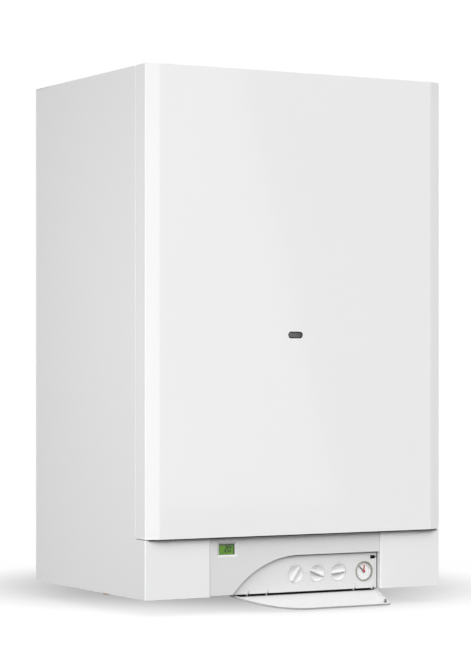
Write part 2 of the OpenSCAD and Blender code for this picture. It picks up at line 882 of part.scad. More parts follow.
module recess_floor() difference() {
    slab_y(floor_y, floor_back) recess(edge_t, fascia_z);
    for (x = hook_x) {
        w = hook_w / 2 + hook_slot;
        block([x - w, floor_y - cut, flap_pivot_z + slot_low],
            [x + w, floor_back + cut, flap_pivot_z + slot_high]);
        block([x - w, floor_y - cut, 0], [x + w, floor_back + cut, flap_pivot_z - slot_low]);
    }
}

module control_fascia() color("gainsboro") hung() difference() {
    union() {
        difference() {
            slab_y(fascia_y, plate_back) translate([-fascia_hw, fascia_z])
                square([2 * fascia_hw, fascia_top - fascia_z]);
            slab_y(fascia_y - cut, plate_back + cut) recess(0, 0);
        }
        slab_y(fascia_y, floor_back) difference() {
            recess(edge_t, fascia_z);
            recess(0, 0);
        }
        recess_floor();
        for (x = hook_x) intersection() {
            w = hook_w / 2 + pin_reach;
            disc_x([flap_py, flap_pivot_z], hook_pin_r, x - w, x + w);
            block([-half_w, floor_y, 0], [half_w, 0, panel_z]);
        }
        for (x = knob_x) disc_y([x, knob_z], well_r, floor_y, floor_y + knob_l + cut);
        for (i = [0:3])
            disc_y(board_pillars[i], pillar_r, (i < 2 ? plate_back : floor_back) - bite, board_y);
    }
    for (x = knob_x) disc_y([x, knob_z], knob_hole_r, floor_y - cut, floor_y + knob_l + 2 * cut);
    disc_y([gauge_x, gauge_z], can_r + seat, floor_y - cut, floor_back + cut);
    translate([latch_x, 0, latch_z]) {
        block([-latch_w / 2, floor_y - cut, -latch_h / 2], [latch_w / 2, floor_back + cut, latch_h / 2]);
        block([0, floor_y - cut, -slit_hw], [recess_x - latch_x, floor_back + cut, slit_hw]);
    }
    display_cut();
}

// Main board and the pillars that carry it: two on the face plate, then two on the recess floor
pillar_r = 3.5;
pillar_in = 30;
pillar_side = 22;
pillar_low = 24;
pillar_mid = 50;
pillar_high = 56;
board_pillars = [[pillar_in - fascia_hw, pillar_low], [pillar_in - fascia_hw, pillar_high],
    [knob_x[0] - pillar_in, pillar_mid], [knob_x[2] + pillar_side, pillar_high]];
board_in = 20;
board_side = 29;
board_low = 4;
board_h = 76;
board_x = [board_in - fascia_hw, knob_x[2] + board_side];
board_z = [tilt_z + board_low, tilt_z + board_low + board_h];

// Transformer, relays, capacitors and plug rows: places, sizes and depths on the main board
trafo_in = 12;
trafo_w = 44;
trafo_z = 24;
trafo_h = 36;
trafo_d = 32;
relay_count = 4;
relay_in = 72;
relay_pitch = 24;
relay_w = 18;
relay_z = 22;
relay_h = 28;
relay_d = 16;
capacitor_count = 5;
capacitor_in = 80;
capacitor_pitch = 15;
capacitor_z = 66;
capacitor_r = 5;
capacitor_d = 22;
top_row_in = 70;
top_row_out = 95;
top_row_z = 60;
top_row_h = 10;
top_row_d = 12;
low_row_in = 70;
low_row_out = 10;
low_row_z = 24;
low_row_h = 12;
low_row_d = 14;

// Side outline of the control box: a sector about the tilt pivot, stepped where the recess is
module drum(r, front, low, upper) intersection() {
    translate([tilt_y, tilt_z]) circle(r = r, $fn = 128);
    union() {
        translate([front, low]) square([2 * r, 2 * r]);
        translate([upper, recess_top + edge_t + free]) square([2 * r, 2 * r]);
    }
}

module control_box() color("gray") hung() difference() {
    slab_x(-box_hw, box_hw) drum(drum_r, floor_back, box_z, plate_back);
    slab_x(box_t - box_hw, box_hw - box_t) drum(drum_r - box_t, floor_back - cut, box_z + box_t,
        plate_back - cut);
    block([box_t - box_hw, floor_back - cut, box_z - cut], [box_hw - box_t, box_front, box_z + box_t + cut]);
    disc_x([tilt_y, tilt_z], tilt_pin_r + run_gap, -half_w, half_w);
}

module main_board() color("darkgreen") hung() {
    block([board_x[0], board_y, board_z[0]], [board_x[1], board_y + board_t, board_z[1]]);
    rear = board_y + board_t;
    left = board_x[0];
    right = board_x[1];
    block([left + trafo_in, rear - bite, trafo_z],
        [left + trafo_in + trafo_w, rear + trafo_d, trafo_z + trafo_h]);
    for (i = [0:relay_count - 1]) {
        x = left + relay_in + i * relay_pitch;
        block([x, rear - bite, relay_z], [x + relay_w, rear + relay_d, relay_z + relay_h]);
    }
    for (i = [0:capacitor_count - 1]) {
        x = right - capacitor_in + i * capacitor_pitch;
        disc_y([x, capacitor_z], capacitor_r, rear - bite, rear + capacitor_d);
    }
    block([left + top_row_in, rear - bite, top_row_z],
        [right - top_row_out, rear + top_row_d, top_row_z + top_row_h]);
    block([right - low_row_in, rear - bite, low_row_z],
        [right - low_row_out, rear + low_row_d, low_row_z + low_row_h]);
}

// Frame of the display module round its screen, and the rotary switches behind the knobs
module_side = 3;
module_edge = 2.5;
switch_hw = 10;
switch_d = 6;
switch_floor = 1;
bar_root = 2;
shaft_end = 1.5;

module display_module() color("yellowgreen") hung() translate([display_x, 0, display_z])
    block([-display_w / 2 - module_side, plate_back, -display_h / 2 - module_edge],
        [display_w / 2 + module_side, plate_back + display_t, display_h / 2 + module_edge]);

module selector_switches() color("dimgray") hung()
    for (x = knob_x) difference() {
        block([x - switch_hw, board_y - switch_d, knob_z - switch_hw],
            [x + switch_hw, board_y, knob_z + switch_hw]);
        disc_y([x, knob_z], shaft_r + run_gap, board_y - switch_d - cut, board_y - switch_floor);
    }

// Round dished knob with a grip bar, its front level with y = 0 and its shaft behind
module knob(turn) rotate([0, turn, 0]) {
    reach = knob_r - knob_rim;
    dish_r = (reach * reach + dish_d * dish_d) / (2 * dish_d);
    difference() {
        disc_y([0, 0], knob_r, free, knob_l);
        translate([0, free + dish_d - dish_r, 0]) sphere(r = dish_r, $fn = 128);
    }
    block([-bar_t / 2, -bar_out, -reach], [bar_t / 2, dish_d + bar_root, reach]);
    disc_y([0, 0], shaft_r, knob_l - bite, board_back + floor_t - shaft_end);
}

module water_knob() color("gainsboro") hung() translate([knob_x[0], floor_y, knob_z]) knob(bar_turns[0]);

module heating_knob() color("gainsboro") hung() translate([knob_x[1], floor_y, knob_z]) knob(bar_turns[1]);

module mode_knob() color("gainsboro") hung() translate([knob_x[2], floor_y, knob_z]) knob(bar_turns[2]);

// Gauge: planes behind the bezel's front, bores, hubs and hands
bezel_step = 0.8;
glass_y = floor_y - bezel_t + bezel_step;
pane_t = 1;
dial_d = 3;
dial_y = floor_y + dial_d;
dial_t = 0.6;
dial_lip = 1.2;
movement_d = 10;
movement_y = floor_y + movement_d;
spindle_r = 0.8;
spindle_l = 7;
spindle_hole = 8;
dial_hole = 0.4;
bezel_lip = 14.6;
lip_step = 0.5;
can_in = can_r - can_wall;
hub_r = 2;
hub_t = 0.6;
hub_gap = 0.8;
hand_hw = 0.6;
hand_t = 0.4;
hand_sink = 0.1;
hand_tail = 4;
hand_l = 11.6;
set_gap = 1.7;
set_hub_r = 2.2;
set_hub_t = 0.5;
set_pin_r = 1.1;
set_knob_r = 1.8;
set_knob_t = 0.4;
set_knob_gap = 0.2;
set_hw = 0.55;
set_l = 10.4;

module gauge_body() color("gray") hung() translate([gauge_x, 0, gauge_z]) difference() {
    union() {
        disc_y([0, 0], bezel_r, floor_y - bezel_t, floor_y);
        disc_y([0, 0], can_r, floor_y - bite, floor_y + can_l);
    }
    disc_y([0, 0], min(bezel_lip, can_in - lip_step), floor_y - bezel_t - cut, glass_y + cut);
    disc_y([0, 0], can_in, glass_y, dial_y + dial_t);
    disc_y([0, 0], can_in - dial_lip, dial_y, movement_y);
    disc_y([0, 0], spindle_r + run_gap, movement_y - cut, movement_y + spindle_hole);
}

module gauge_dial() color("white") hung() translate([gauge_x, 0, gauge_z]) difference() {
    disc_y([0, 0], can_in - seat, dial_y, dial_y + dial_t);
    disc_y([0, 0], spindle_r + dial_hole, dial_y - cut, dial_y + dial_t + cut);
}

module gauge_hand() color("black") hung() translate([gauge_x, 0, gauge_z]) rotate([0, hand_turn, 0]) {
    back = dial_y - hub_gap;
    disc_y([0, 0], hub_r, back - hub_t, back);
    disc_y([0, 0], spindle_r, back - hub_t / 2, movement_y + spindle_l);
    block([-hand_hw, back - hand_sink - hand_t, -hand_tail], [hand_hw, back - hand_sink, hand_l]);
}

module gauge_set_hand() color("red") hung() translate([gauge_x, 0, gauge_z]) rotate([0, set_turn, 0]) {
    back = dial_y - set_gap;
    disc_y([0, 0], set_pin_r, glass_y - set_knob_gap - set_knob_t / 2, back - set_hub_t / 2);
    disc_y([0, 0], set_hub_r, back - set_hub_t, back);
    disc_y([0, 0], set_knob_r, glass_y - set_knob_gap - set_knob_t, glass_y - set_knob_gap);
    block([-set_hw, back - set_hub_t, 0], [set_hw, back - hand_sink, set_l]);
}

module gauge_glass() color("azure", 0.4) hung() translate([gauge_x, 0, gauge_z]) difference() {
    disc_y([0, 0], can_in - seat, glass_y, glass_y + pane_t);
    disc_y([0, 0], set_pin_r + run_gap, glass_y - cut, glass_y + pane_t + cut);
}

// Flap in its closed place, level with the control panel's face
module closed_flap() {
    difference() {
        slab_y(flap_y, flap_y + flap_d) recess_inside(flap_gap);
        slab_y(flap_y + flap_t, flap_y + flap_d + cut) recess_inside(flap_gap + flap_rim);
    }
    for (x = hook_x) {
        translate([x - hook_w / 2, flap_py, flap_pivot_z])
            rotate([90, 0, 90]) rotate([0, 0, 180 - hook_sweep]) rotate_extrude(angle = hook_sweep)
            translate([hook_r - hook_t, 0]) square([hook_t, hook_w]);
        block([x - hook_w / 2, flap_y + flap_t - bite, flap_pivot_z - hook_foot],
            [x + hook_w / 2, flap_py - hook_r + hook_t - foot_sink, flap_pivot_z + hook_foot]);
    }
    block([latch_x - nub / 2, flap_y + flap_t - bite, latch_z - nub / 2],
        [latch_x + nub / 2, floor_back + nub_reach, latch_z + nub / 2]);
}

// Recess outline drawn in by gap on every side, for the flap
module recess_inside(gap) {
    low = flap_z + gap - flap_gap;
    intersection() {
        translate([arc_x, arc_z]) circle(r = arc_r - gap, $fn = 256);
        translate([arc_x - arc_r, low]) square([arc_r, recess_top - gap - low]);
    }
    translate([arc_x - cut, low]) square([recess_x - gap - arc_x + cut, recess_top - gap - low]);
}

module service_flap() color("whitesmoke") hung() translate([0, flap_py, flap_pivot_z])
    rotate([flap_open, 0, 0]) translate([0, -flap_py, -flap_pivot_z]) closed_flap();

module chamber_box() color("silver") hung() difference() {
    union() {
        block([-chamber_hw, rim_y, chamber_z], [chamber_hw, -chamber_back, chamber_top]);
        block([-rim_x, rim_y, rim_z[0]], [rim_x, rim_y + sheet, rim_z[1]]);
    }
    block([sheet - chamber_hw, rim_y - cut, chamber_z + sheet],
        [chamber_hw - sheet, -chamber_back - sheet, chamber_top - sheet]);
    disc_z([0, core_y], collar_r + free, chamber_top - sheet - cut, chamber_top + cut);
    for (s = [-1, 1]) {
        disc_z([s * riser_x, riser_y], pipe_r + pipe_gap, chamber_z - cut, chamber_z + sheet + cut);
        for (z = stud_z) disc_y([s * stud_x, z], stud_r + seat, rim_y - cut, rim_y + sheet + cut);
        for (z = cover_screws)
            disc_y([s * cover_screw_x, z], screw_hole_r, rim_y - cut, rim_y + sheet + cut);
    }
    disc_z([gas_x, manifold_y], pipe_r + pipe_gap, chamber_z - cut, chamber_z + sheet + cut);
}

module chamber_cover() color("silver") hung() difference() {
    block([-cover_hw, flange_y, cover_z[0]], [cover_hw, rim_y, cover_z[1]]);
    translate([window_x, 0, window_z]) slab_y(flange_y - cut, rim_y + cut) pill(window_w + 2 * port_lap,
        window_h + 2 * port_lap);
    for (s = [-1, 1], z = cover_screws)
        disc_y([s * cover_screw_x, z], screw_hole_r, flange_y - cut, rim_y + cut);
}

module burner_tray() color("silver") hung() difference() {
    union() {
        block([tray_in - shell_hw, core_y - shell_hd + tray_in, chamber_z + sheet],
            [shell_hw - tray_in, core_y + shell_hd - tray_in, tray_top]);
        block([-shell_hw - lip, core_y - shell_hd - lip, tray_top - sheet],
            [shell_hw + lip, core_y + shell_hd + lip, tray_top]);
    }
    inner = tray_in + tray_wall;
    block([inner - shell_hw, core_y - shell_hd + inner, chamber_z],
        [shell_hw - inner, core_y + shell_hd - inner, tray_top + cut]);
    for (x = burner_x)
        disc_y([x, injector_z], venturi_r, core_y - shell_hd, core_y - shell_hd + inner + cut);
}

module burner_bars() color("slategray") hung() {
    reach = shell_hd - tray_in - bar_gap;
    for (x = burner_x) difference() {
        union() {
            slab_y(core_y - reach, core_y + reach) {
                translate([x - burner_w / 2, tray_top - burner_depth])
                    square([burner_w, burner_depth + burner_rise - burner_w / 2]);
                translate([x, tray_top + burner_rise - burner_w / 2]) circle(d = burner_w);
            }
            block([x - burner_w / 2, core_y - reach - bar_ear, tray_top],
                [x + burner_w / 2, core_y + reach + bar_ear, tray_top + ear_t]);
        }
        disc_y([x, injector_z], venturi_r, core_y - reach - cut, core_y - reach + venturi_l);
    }
}

module gas_manifold() color("goldenrod") hung() {
    front = core_y - shell_hd + tray_in;
    last = burner_x[bar_count - 1];
    disc_x([manifold_y, injector_z], manifold_r, -last - manifold_end, last + manifold_end);
    for (x = burner_x) disc_y([x, injector_z], injector_r, manifold_y, front + cut);
    for (x = [-last - bracket_in, last + bracket_in])
        block([x - bracket_hw, manifold_y, injector_z - bracket_hh],
            [x + bracket_hw, front, injector_z + bracket_hh]);
    disc_z([gas_x, manifold_y], manifold_r, stub_z, injector_z);
}

module electrodes() color("ivory") hung() {
    front = core_y - shell_hd;
    for (x = electrode_x) {
        disc_y([x, electrode_z], ceramic_r, front - electrode_out, front + electrode_in);
        disc_y([x, electrode_z], ceramic_r + electrode_collar, front - electrode_collar_t, front);
        disc_y([x, electrode_z], electrode_tip_r, front + electrode_in - bite, front + electrode_l);
    }
}

module electrode_holes() for (x = electrode_x)
    disc_y([x, electrode_z], ceramic_r + electrode_gap, core_y - shell_hd - cut,
        core_y - shell_hd + sheet + seat + board_ins + cut);

module combustion_shell() color("silver") hung() difference() {
    shaft_wall(shell_hw, shell_hd, sheet, tray_top, shell_top);
    electrode_holes();
}

module insulation_boards() color("linen") hung() difference() {
    low = tray_top + burner_rise + board_lift;
    high = shell_top - seat;
    hx = shell_hw - sheet - seat;
    hy = shell_hd - sheet - seat;
    union() for (s = [-1, 1]) {
        y = s > 0 ? [hy - board_ins, hy] : [-hy, board_ins - hy];
        x = s > 0 ? [hx - board_ins, hx] : [-hx, board_ins - hx];
        block([-hx, core_y + y[0], low], [hx, core_y + y[1], high]);
        block([x[0], core_y - hy + board_ins + seat, low], [x[1], core_y + hy - board_ins - seat, high]);
    }
    electrode_holes();
}

module exchanger_fins() color("chocolate") hung()
    for (i = [0:fin_count - 1]) difference() {
        x = (i - (fin_count - 1) / 2) * fin_pitch;
        block([x - fin_t / 2, core_y - shell_hd + fin_in, header_z[0]],
            [x + fin_t / 2, core_y + shell_hd - fin_in, header_z[1]]);
        for (y = tube_y) disc_x([y, tube_z], tube_r + seat, x - fin_t, x + fin_t);
    }

module exchanger_tubes() color("peru") hung() difference() {
    union() {
        shaft_wall(shell_hw, shell_hd, sheet, shell_top, jacket_top);
        for (y = tube_y) disc_x([y, tube_z], tube_r, -shell_hw, shell_hw);
        for (s = [-1, 1]) block([s > 0 ? shell_hw - sheet : -header_out, header_y[0], header_z[0]],
            [s > 0 ? header_out : sheet - shell_hw, header_y[1], header_z[1]]);
    }
    reach = shell_hw + 2 * header_wall;
    for (y = tube_y) disc_x([y, tube_z], tube_r - tube_wall, -reach, reach);
    for (s = [-1, 1]) {
        block([s > 0 ? shell_hw + header_wall : header_wall - header_out, header_y[0] + header_wall,
            header_z[0] + header_wall], [s > 0 ? header_out - header_wall : -shell_hw - header_wall,
            header_y[1] - header_wall, header_z[1] - header_wall]);
        disc_z([s * riser_x, riser_y], pipe_r - pipe_wall, header_z[0] - cut, header_z[0] + 2 * header_wall);
    }
}

// Hood from the jacket up to the fan: a slope on every side and an upright box behind the fan
module hood_form(inset, low, high) {
    hx = shell_hw - inset;
    front = core_y - shell_hd + inset;
    back = core_y + shell_hd - inset;
    top_hx = riser_box[0] - inset;
    top_front = fan_back + inset;
    top_back = fan_back + riser_box[1] - inset;
    intersection() {
        slab_y(front - cut, back + cut)
            polygon([[-hx, low], [hx, low], [top_hx, hood_top], [-top_hx, hood_top]]);
        slab_x(-hx - cut, hx + cut) polygon([[front, low], [back, low], [top_back, hood_top],
            [top_front, hood_top]]);
    }
    block([-top_hx, top_front, hood_top - cut], [top_hx, top_back, high]);
}

module flue_hood() color("silver") hung() difference() {
    hood_form(0, jacket_top, fan_z + riser_box[2]);
    hood_form(sheet, jacket_top - cut, fan_z + riser_box[2] - sheet);
    disc_y([fan_x, fan_z], eye_r, fan_back - cut, fan_back + 2 * cut);
}

module fan_housing() color("darkgray") hung() difference() {
    union() {
        disc_y([fan_x, fan_z], fan_r, fan_front, fan_back);
        block([-duct_w / 2, fan_front, fan_z], [duct_w / 2, fan_back, fan_top]);
        disc_z([0, core_y], spigot_r, fan_top - cut, fan_top + spigot_h);
    }
    disc_y([fan_x, fan_z], fan_r - duct_wall, fan_front + duct_wall, fan_back - duct_wall);
    block([duct_wall - duct_w / 2, fan_front + duct_wall, fan_z],
        [duct_w / 2 - duct_wall, fan_back - duct_wall, fan_top - duct_wall]);
    disc_z([0, core_y], spigot_r - spigot_wall, fan_top - 2 * cut, fan_top + spigot_h + cut);
    disc_y([fan_x, fan_z], eye_r, fan_back - 2 * duct_wall, fan_back + cut);
    disc_y([fan_x, fan_z], fan_shaft_r + shaft_room, fan_front - cut, fan_front + 2 * duct_wall);
}

module fan_impeller() color("lightsteelblue") hung() translate([fan_x, 0, fan_z]) {
    front = fan_front + wheel_side;
    back = fan_back - wheel_side;
    disc_y([0, 0], wheel_r, front, front + wheel_t);
    disc_y([0, 0], wheel_hub_r, front, back - hub_short);
    disc_y([0, 0], fan_shaft_r, fan_front - fan_motor_l + motor_floor + wheel_end, front + bite);
    for (i = [0:blade_count - 1]) rotate([0, i * 360 / blade_count, 0])
        block([-blade_t / 2, front + bite, wheel_r - blade_in - blade_w],
            [blade_t / 2, back, wheel_r - blade_in]);
}

module fan_motor() color("dimgray") hung() difference() {
    union() {
        disc_y([fan_x, fan_z], fan_motor_r, fan_front - fan_motor_l, fan_front - bite);
        disc_y([fan_x, fan_z], fan_motor_r + motor_flange, fan_front - motor_flange_t, fan_front);
    }
    disc_y([fan_x, fan_z], fan_shaft_r + run_gap, fan_front - fan_motor_l + motor_floor, fan_front + cut);
}

// Flue collar: its tubes, flange and the three spokes that hold the inner tube
tube_gap = 0.2;
flue_wall = 1.5;
flue_flange = 20;
flue_flange_t = 2;
spoke_count = 3;
spoke_hw = 1;
spoke_z = 4;
spoke_h = 4;

module flue_collar() color("whitesmoke") hung() {
    low = chamber_top - sheet;
    high = case_h + collar_h;
    in_r = spigot_r + tube_gap;
    translate([0, core_y, 0]) {
        difference() {
            union() {
                slab_z(low, high) circle(r = collar_r);
                slab_z(case_h, case_h + flue_flange_t) circle(r = collar_r + flue_flange);
            }
            slab_z(low - cut, high + cut) circle(r = collar_r - flue_wall);
        }
        slab_z(fan_top + cut, high) difference() {
            circle(r = in_r + flue_wall);
            circle(r = in_r);
        }
        for (i = [0:spoke_count - 1]) rotate([0, 0, 90 + i * 360 / spoke_count])
            block([in_r + bite, -spoke_hw, case_h + spoke_z],
                [collar_r - bite, spoke_hw, case_h + spoke_z + spoke_h]);
    }
}

// Air pressure switch: body, cap and hose nipple
switch_rise = 50;
switch_r = 28;
switch_t = 16;
switch_cap_r = 20;
switch_cap_t = 10;
nozzle_r = 3;
nozzle_l = 12;
nozzle_off = 8;

module air_pressure_switch() color("dimgray") hung() {
    c = [core_y, jacket_top + switch_rise];
    wall = sheet - chamber_hw;
    top = wall + switch_t + switch_cap_t;
    disc_x(c, switch_r, wall, wall + switch_t);
    disc_x(c, switch_cap_r, wall + switch_t - bite, top);
    disc_x([c[0] + nozzle_off, c[1]], nozzle_r, top - bite, top + nozzle_l);
}

module expansion_vessel() color("firebrick") hung() {
    translate([0, back_y, vessel_z]) rotate([90, 0, 0]) rotate_extrude($fn = 96) intersection() {
        union() {
            square([vessel_r - vessel_round, vessel_t]);
            translate([0, vessel_round]) square([vessel_r, vessel_t - 2 * vessel_round]);
            for (z = [vessel_round, vessel_t - vessel_round])
                translate([vessel_r - vessel_round, z]) circle(r = vessel_round);
        }
        square([vessel_r + cut, vessel_t]);
    }
    disc_z([0, vessel_y], nipple_r, nipple_z, vessel_z - vessel_r + nipple_root);
}

module expansion_pipe() color("peru") hung()
    pipe([[0, vessel_y, nipple_z], [0, vessel_y, loop_z], [riser_x, vessel_y, loop_z],
        [riser_x, vessel_y, pump_z], [riser_x, pump_back, pump_z]], loop_r, small_bend);

module pump_body() color("dimgray") hung() difference() {
    union() {
        disc_y([riser_x, pump_z], volute_r, pump_front, pump_back);
        disc_z([riser_x, riser_y], port_r, pump_low, pump_high);
    }
    disc_y([riser_x, pump_z], volute_r - pump_wall, pump_front + pump_side, pump_back - pump_side);
    disc_z([riser_x, riser_y], pipe_r - pipe_wall, pump_low - cut, pump_high + cut);
    disc_y([riser_x, pump_z], pump_shaft_r + shaft_room, pump_front - cut, pump_front + pump_mouth);
}

module pump_motor() color("darkgreen") hung() difference() {
    union() {
        disc_y([riser_x, pump_z], pump_motor_r, pump_front - pump_motor_l, pump_front);
        block([riser_x - terminal_hw, pump_front - pump_motor_l + terminal_in, pump_z],
            [riser_x + terminal_hw, pump_front - terminal_out, pump_z + pump_motor_r + terminal_h]);
    }
    disc_y([riser_x, pump_z], pump_shaft_r + run_gap, pump_front - pump_motor_l + pump_motor_floor,
        pump_front + cut);
}

module pump_impeller() color("lightsteelblue") hung() translate([riser_x, 0, pump_z]) {
    front = riser_y - rotor_side;
    disc_y([0, 0], volute_r - rotor_r, front, front + rotor_t);
    disc_y([0, 0], rotor_hub_r, front, riser_y + rotor_back);
    disc_y([0, 0], pump_shaft_r, pump_front - pump_motor_l + pump_motor_floor + pump_shaft_gap,
        front + bite);
    for (i = [0:vane_count - 1]) rotate([0, i * 360 / vane_count, 0])
        block([-vane_hw, front + bite, vane_in], [vane_hw, riser_y + rotor_back, volute_r - vane_r]);
}

module return_pipe() color("peru") hung() {
    pipe([[riser_x, -union_y, union_top], [riser_x, -union_y, low_run], [riser_x, riser_y, low_run],
        [riser_x, riser_y, pump_low]], pipe_r, bend_r);
    pipe([[riser_x, riser_y, pump_high], [riser_x, riser_y, header_z[0]]], pipe_r, bend_r);
}

module flow_pipe() color("peru") hung() {
    low = valve_z - valve_hh - valve_port;
    high = valve_z + valve_hh + valve_port;
    pipe([[-riser_x, -union_y, union_top], [-riser_x, -union_y, flow_run], [-riser_x, riser_y, flow_run],
        [-riser_x, riser_y, low]], pipe_r, bend_r);
    pipe([[-riser_x, riser_y, high], [-riser_x, riser_y, header_z[0]]], pipe_r, bend_r);
}

module three_way_valve() color("goldenrod") hung() translate([-riser_x, riser_y, valve_z]) difference() {
    union() {
        block([-valve_hw, -valve_hd, -valve_hh], [valve_hw, valve_hd, valve_hh]);
        disc_z([0, 0], port_r, -valve_hh - valve_port, valve_hh + valve_port);
        disc_x([0, 0], arm_r, 0, plate_x + riser_x);
    }
    disc_z([0, 0], pipe_r - pipe_wall, -valve_hh - valve_port - cut, valve_hh + valve_port + cut);
    disc_x([0, 0], arm_bore, 0, plate_x + riser_x + cut);
    disc_y([0, 0], stem_r + stem_room, -stem_chamber, stem_chamber);
    disc_y([0, 0], stem_r + run_gap, -valve_hd - cut, 0);
}

module valve_actuator() color("whitesmoke") hung() translate([-riser_x, riser_y - valve_hd, valve_z])
    difference() {
        block([-actuator_hw, -actuator_d, -actuator_hh], [actuator_hw, 0, actuator_hh]);
        disc_y([0, 0], stem_r + run_gap, -actuator_bore, cut);
    }

module valve_stem() color("silver") hung() translate([-riser_x, riser_y, valve_z]) {
    disc_y([0, 0], stem_r, -stem_l, stem_back);
    disc_y([0, 0], stem_r + stem_disc, -2 * stem_disc_t, -stem_disc_t);
}

module plate_exchanger() color("silver") hung() {
    t = plate_hd / plate_pairs;
    low = valve_z - plate_h / 2;
    high = valve_z + plate_h / 2;
    for (i = [0:plate_pairs - 1]) {
        y = riser_y - plate_hd + 2 * i * t;
        block([plate_x, y, low], [plate_x + plate_l, y + t, high]);
        block([plate_x + plate_step, y + t - plate_bite, low + plate_step],
            [plate_x + plate_l - plate_step, y + 2 * t + plate_bite, high - plate_step]);
    }
    back = riser_y + plate_hd;
    block([plate_x, back, low], [plate_x + plate_l, back + t, high]);
}

module water_pipes() color("peru") hung()
    for (i = [1, 3])
        pipe([[union_x[i], -union_y, union_top], [union_x[i], -union_y, tap_run],
            [union_x[i], riser_y + plate_hd + plate_hd / plate_pairs, tap_run]], small_pipe_r, small_bend);

module gas_valve() color("lightslategray") hung() {
    block([gas_x - gas_hw, gas_y - gas_hw, gas_valve_z[0]],
        [gas_x + gas_hw, gas_y + gas_hw, gas_valve_z[1]]);
    for (s = [-1, 1]) disc_y([gas_x + s * coil_off, gas_valve_z[0] + coil_rise], coil_r,
        gas_y - gas_hw - coil_l, gas_y - gas_hw + bite);
    disc_x([gas_y, gas_valve_z[0] + regulator_rise], regulator_r, gas_x + gas_hw - bite,
        gas_x + gas_hw + regulator_l);
}

module gas_pipe() color("gold") hung() {
    pipe([[gas_x, -union_y, union_top], [gas_x, -union_y, flow_run], [gas_x, gas_y, flow_run],
        [gas_x, gas_y, gas_valve_z[0]]], pipe_r, bend_r);
    pipe([[gas_x, gas_y, gas_valve_z[1]], [gas_x, gas_y, gas_turn], [gas_x, manifold_y, gas_turn],
        [gas_x, manifold_y, stub_z]], pipe_r, bend_r);
}

module safety_valve() color("goldenrod") hung() difference() {
    union() {
        disc_z([relief_x, riser_y], relief_r, pump_z - relief_low, pump_z + relief_high);
        disc_x([riser_y, pump_z], link_r, relief_x, riser_x - volute_r - link_gap);
    }
    disc_z([relief_x, riser_y], relief_pin_r + run_gap, pump_z - relief_bore, pump_z + relief_high + cut);
    disc_z([relief_x, riser_y], outlet_r, pump_z - relief_low - cut, pump_z - relief_low + outlet_l);
}

module safety_valve_cap() color("red") hung() {
    z = pump_z + relief_high + free;
    disc_z([relief_x, riser_y], cap_r, z, z + cap_h);
    disc_z([relief_x, riser_y], relief_pin_r, pump_z - cap_pin, z + bite);
    for (i = [0:grip_count - 1]) rotate_about([relief_x, riser_y], i * 360 / grip_count)
        block([relief_x + cap_r - grip_in, riser_y - grip_hw, z + grip_hw],
            [relief_x + cap_r + grip_out, riser_y + grip_hw, z + cap_h - grip_hw]);
}

// Turns a piece about the upright line through c
module rotate_about(c, a)
    translate([c[0], c[1], 0]) rotate([0, 0, a]) translate([-c[0], -c[1], 0]) children();

module filling_tap() color("goldenrod") hung() difference() {
    union() {
        disc_z([tap_x, tap_y], tap_r, 2 * sheet, low_run + tap_rise);
        disc_x([tap_y, low_run], link_r, tap_x, riser_x - pipe_r - link_gap);
    }
    disc_z([tap_x, tap_y], stem_r + run_gap, sheet, tap_bore_z);
}

module filling_tap_handle() color("royalblue") hung() {
    disc_z([tap_x, tap_y], stem_r, handle_z[1] - handle_root, handle_top);
    disc_z([tap_x, tap_y], handle_r, handle_z[0], handle_z[1]);
    for (i = [0:flute_count - 1]) rotate_about([tap_x, tap_y], i * 360 / flute_count)
        block([tap_x + handle_r - flute_in, tap_y - flute_hw, handle_z[0] + flute_in],
            [tap_x + handle_r + flute_out, tap_y + flute_hw, handle_z[1] - flute_in]);
}

module pipe_unions() color("goldenrod") hung()
    for (i = [0:4]) {
        r = union_r[i];
        inner = i == 1 || i == 3 ? small_pipe_r - pipe_wall : pipe_r - pipe_wall;
        translate([union_x[i], -union_y, 0]) difference() {
            union() {
                slab_z(-union_l, union_top) circle(r = r);
                slab_z(-shoulder, sheet) circle(r = r + washer);
                translate([0, 0, 2 * sheet]) cylinder(r = r + hex_grow, h = hex_h, $fn = 6);
            }
            slab_z(-union_l - cut, union_top + cut) circle(r = inner);
        }
    }

back_panel();
wall_rails();
left_side_panel();
right_side_panel();
top_panel();
bottom_tray();
front_panel();
panel_catches();
panel_studs();
sight_glass();
case_screws();
control_fascia();
control_box();
main_board();
display_module();
selector_switches();
water_knob();
heating_knob();
mode_knob();
gauge_body();
gauge_dial();
gauge_hand();
gauge_set_hand();
gauge_glass();
service_flap();
chamber_box();
chamber_cover();
burner_tray();
burner_bars();
gas_manifold();
electrodes();
combustion_shell();
insulation_boards();
exchanger_fins();
exchanger_tubes();
flue_hood();
fan_housing();
fan_impeller();
fan_motor();
flue_collar();
air_pressure_switch();
expansion_vessel();
expansion_pipe();
pump_body();
pump_motor();
pump_impeller();
flow_pipe();
return_pipe();
three_way_valve();
valve_actuator();
valve_stem();
plate_exchanger();
water_pipes();
gas_valve();
gas_pipe();
safety_valve();
safety_valve_cap();
filling_tap();
filling_tap_handle();
pipe_unions();
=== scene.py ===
"""Looks of a wall-hung gas boiler, dressed over its packed construction model.

Every length in the classes is in millimetres. X runs along the wall, Y is 0 at
the wall and falls towards the front, and Z is 0 at the lower edge of the case.
Piece.place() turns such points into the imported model's metres.
"""

from __future__ import annotations

import json
import logging
import math
from dataclasses import dataclass, field
from enum import Enum
from typing import Iterable, Sequence

import bmesh
import bpy
import numpy as np
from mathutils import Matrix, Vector
from mathutils.geometry import tessellate_polygon


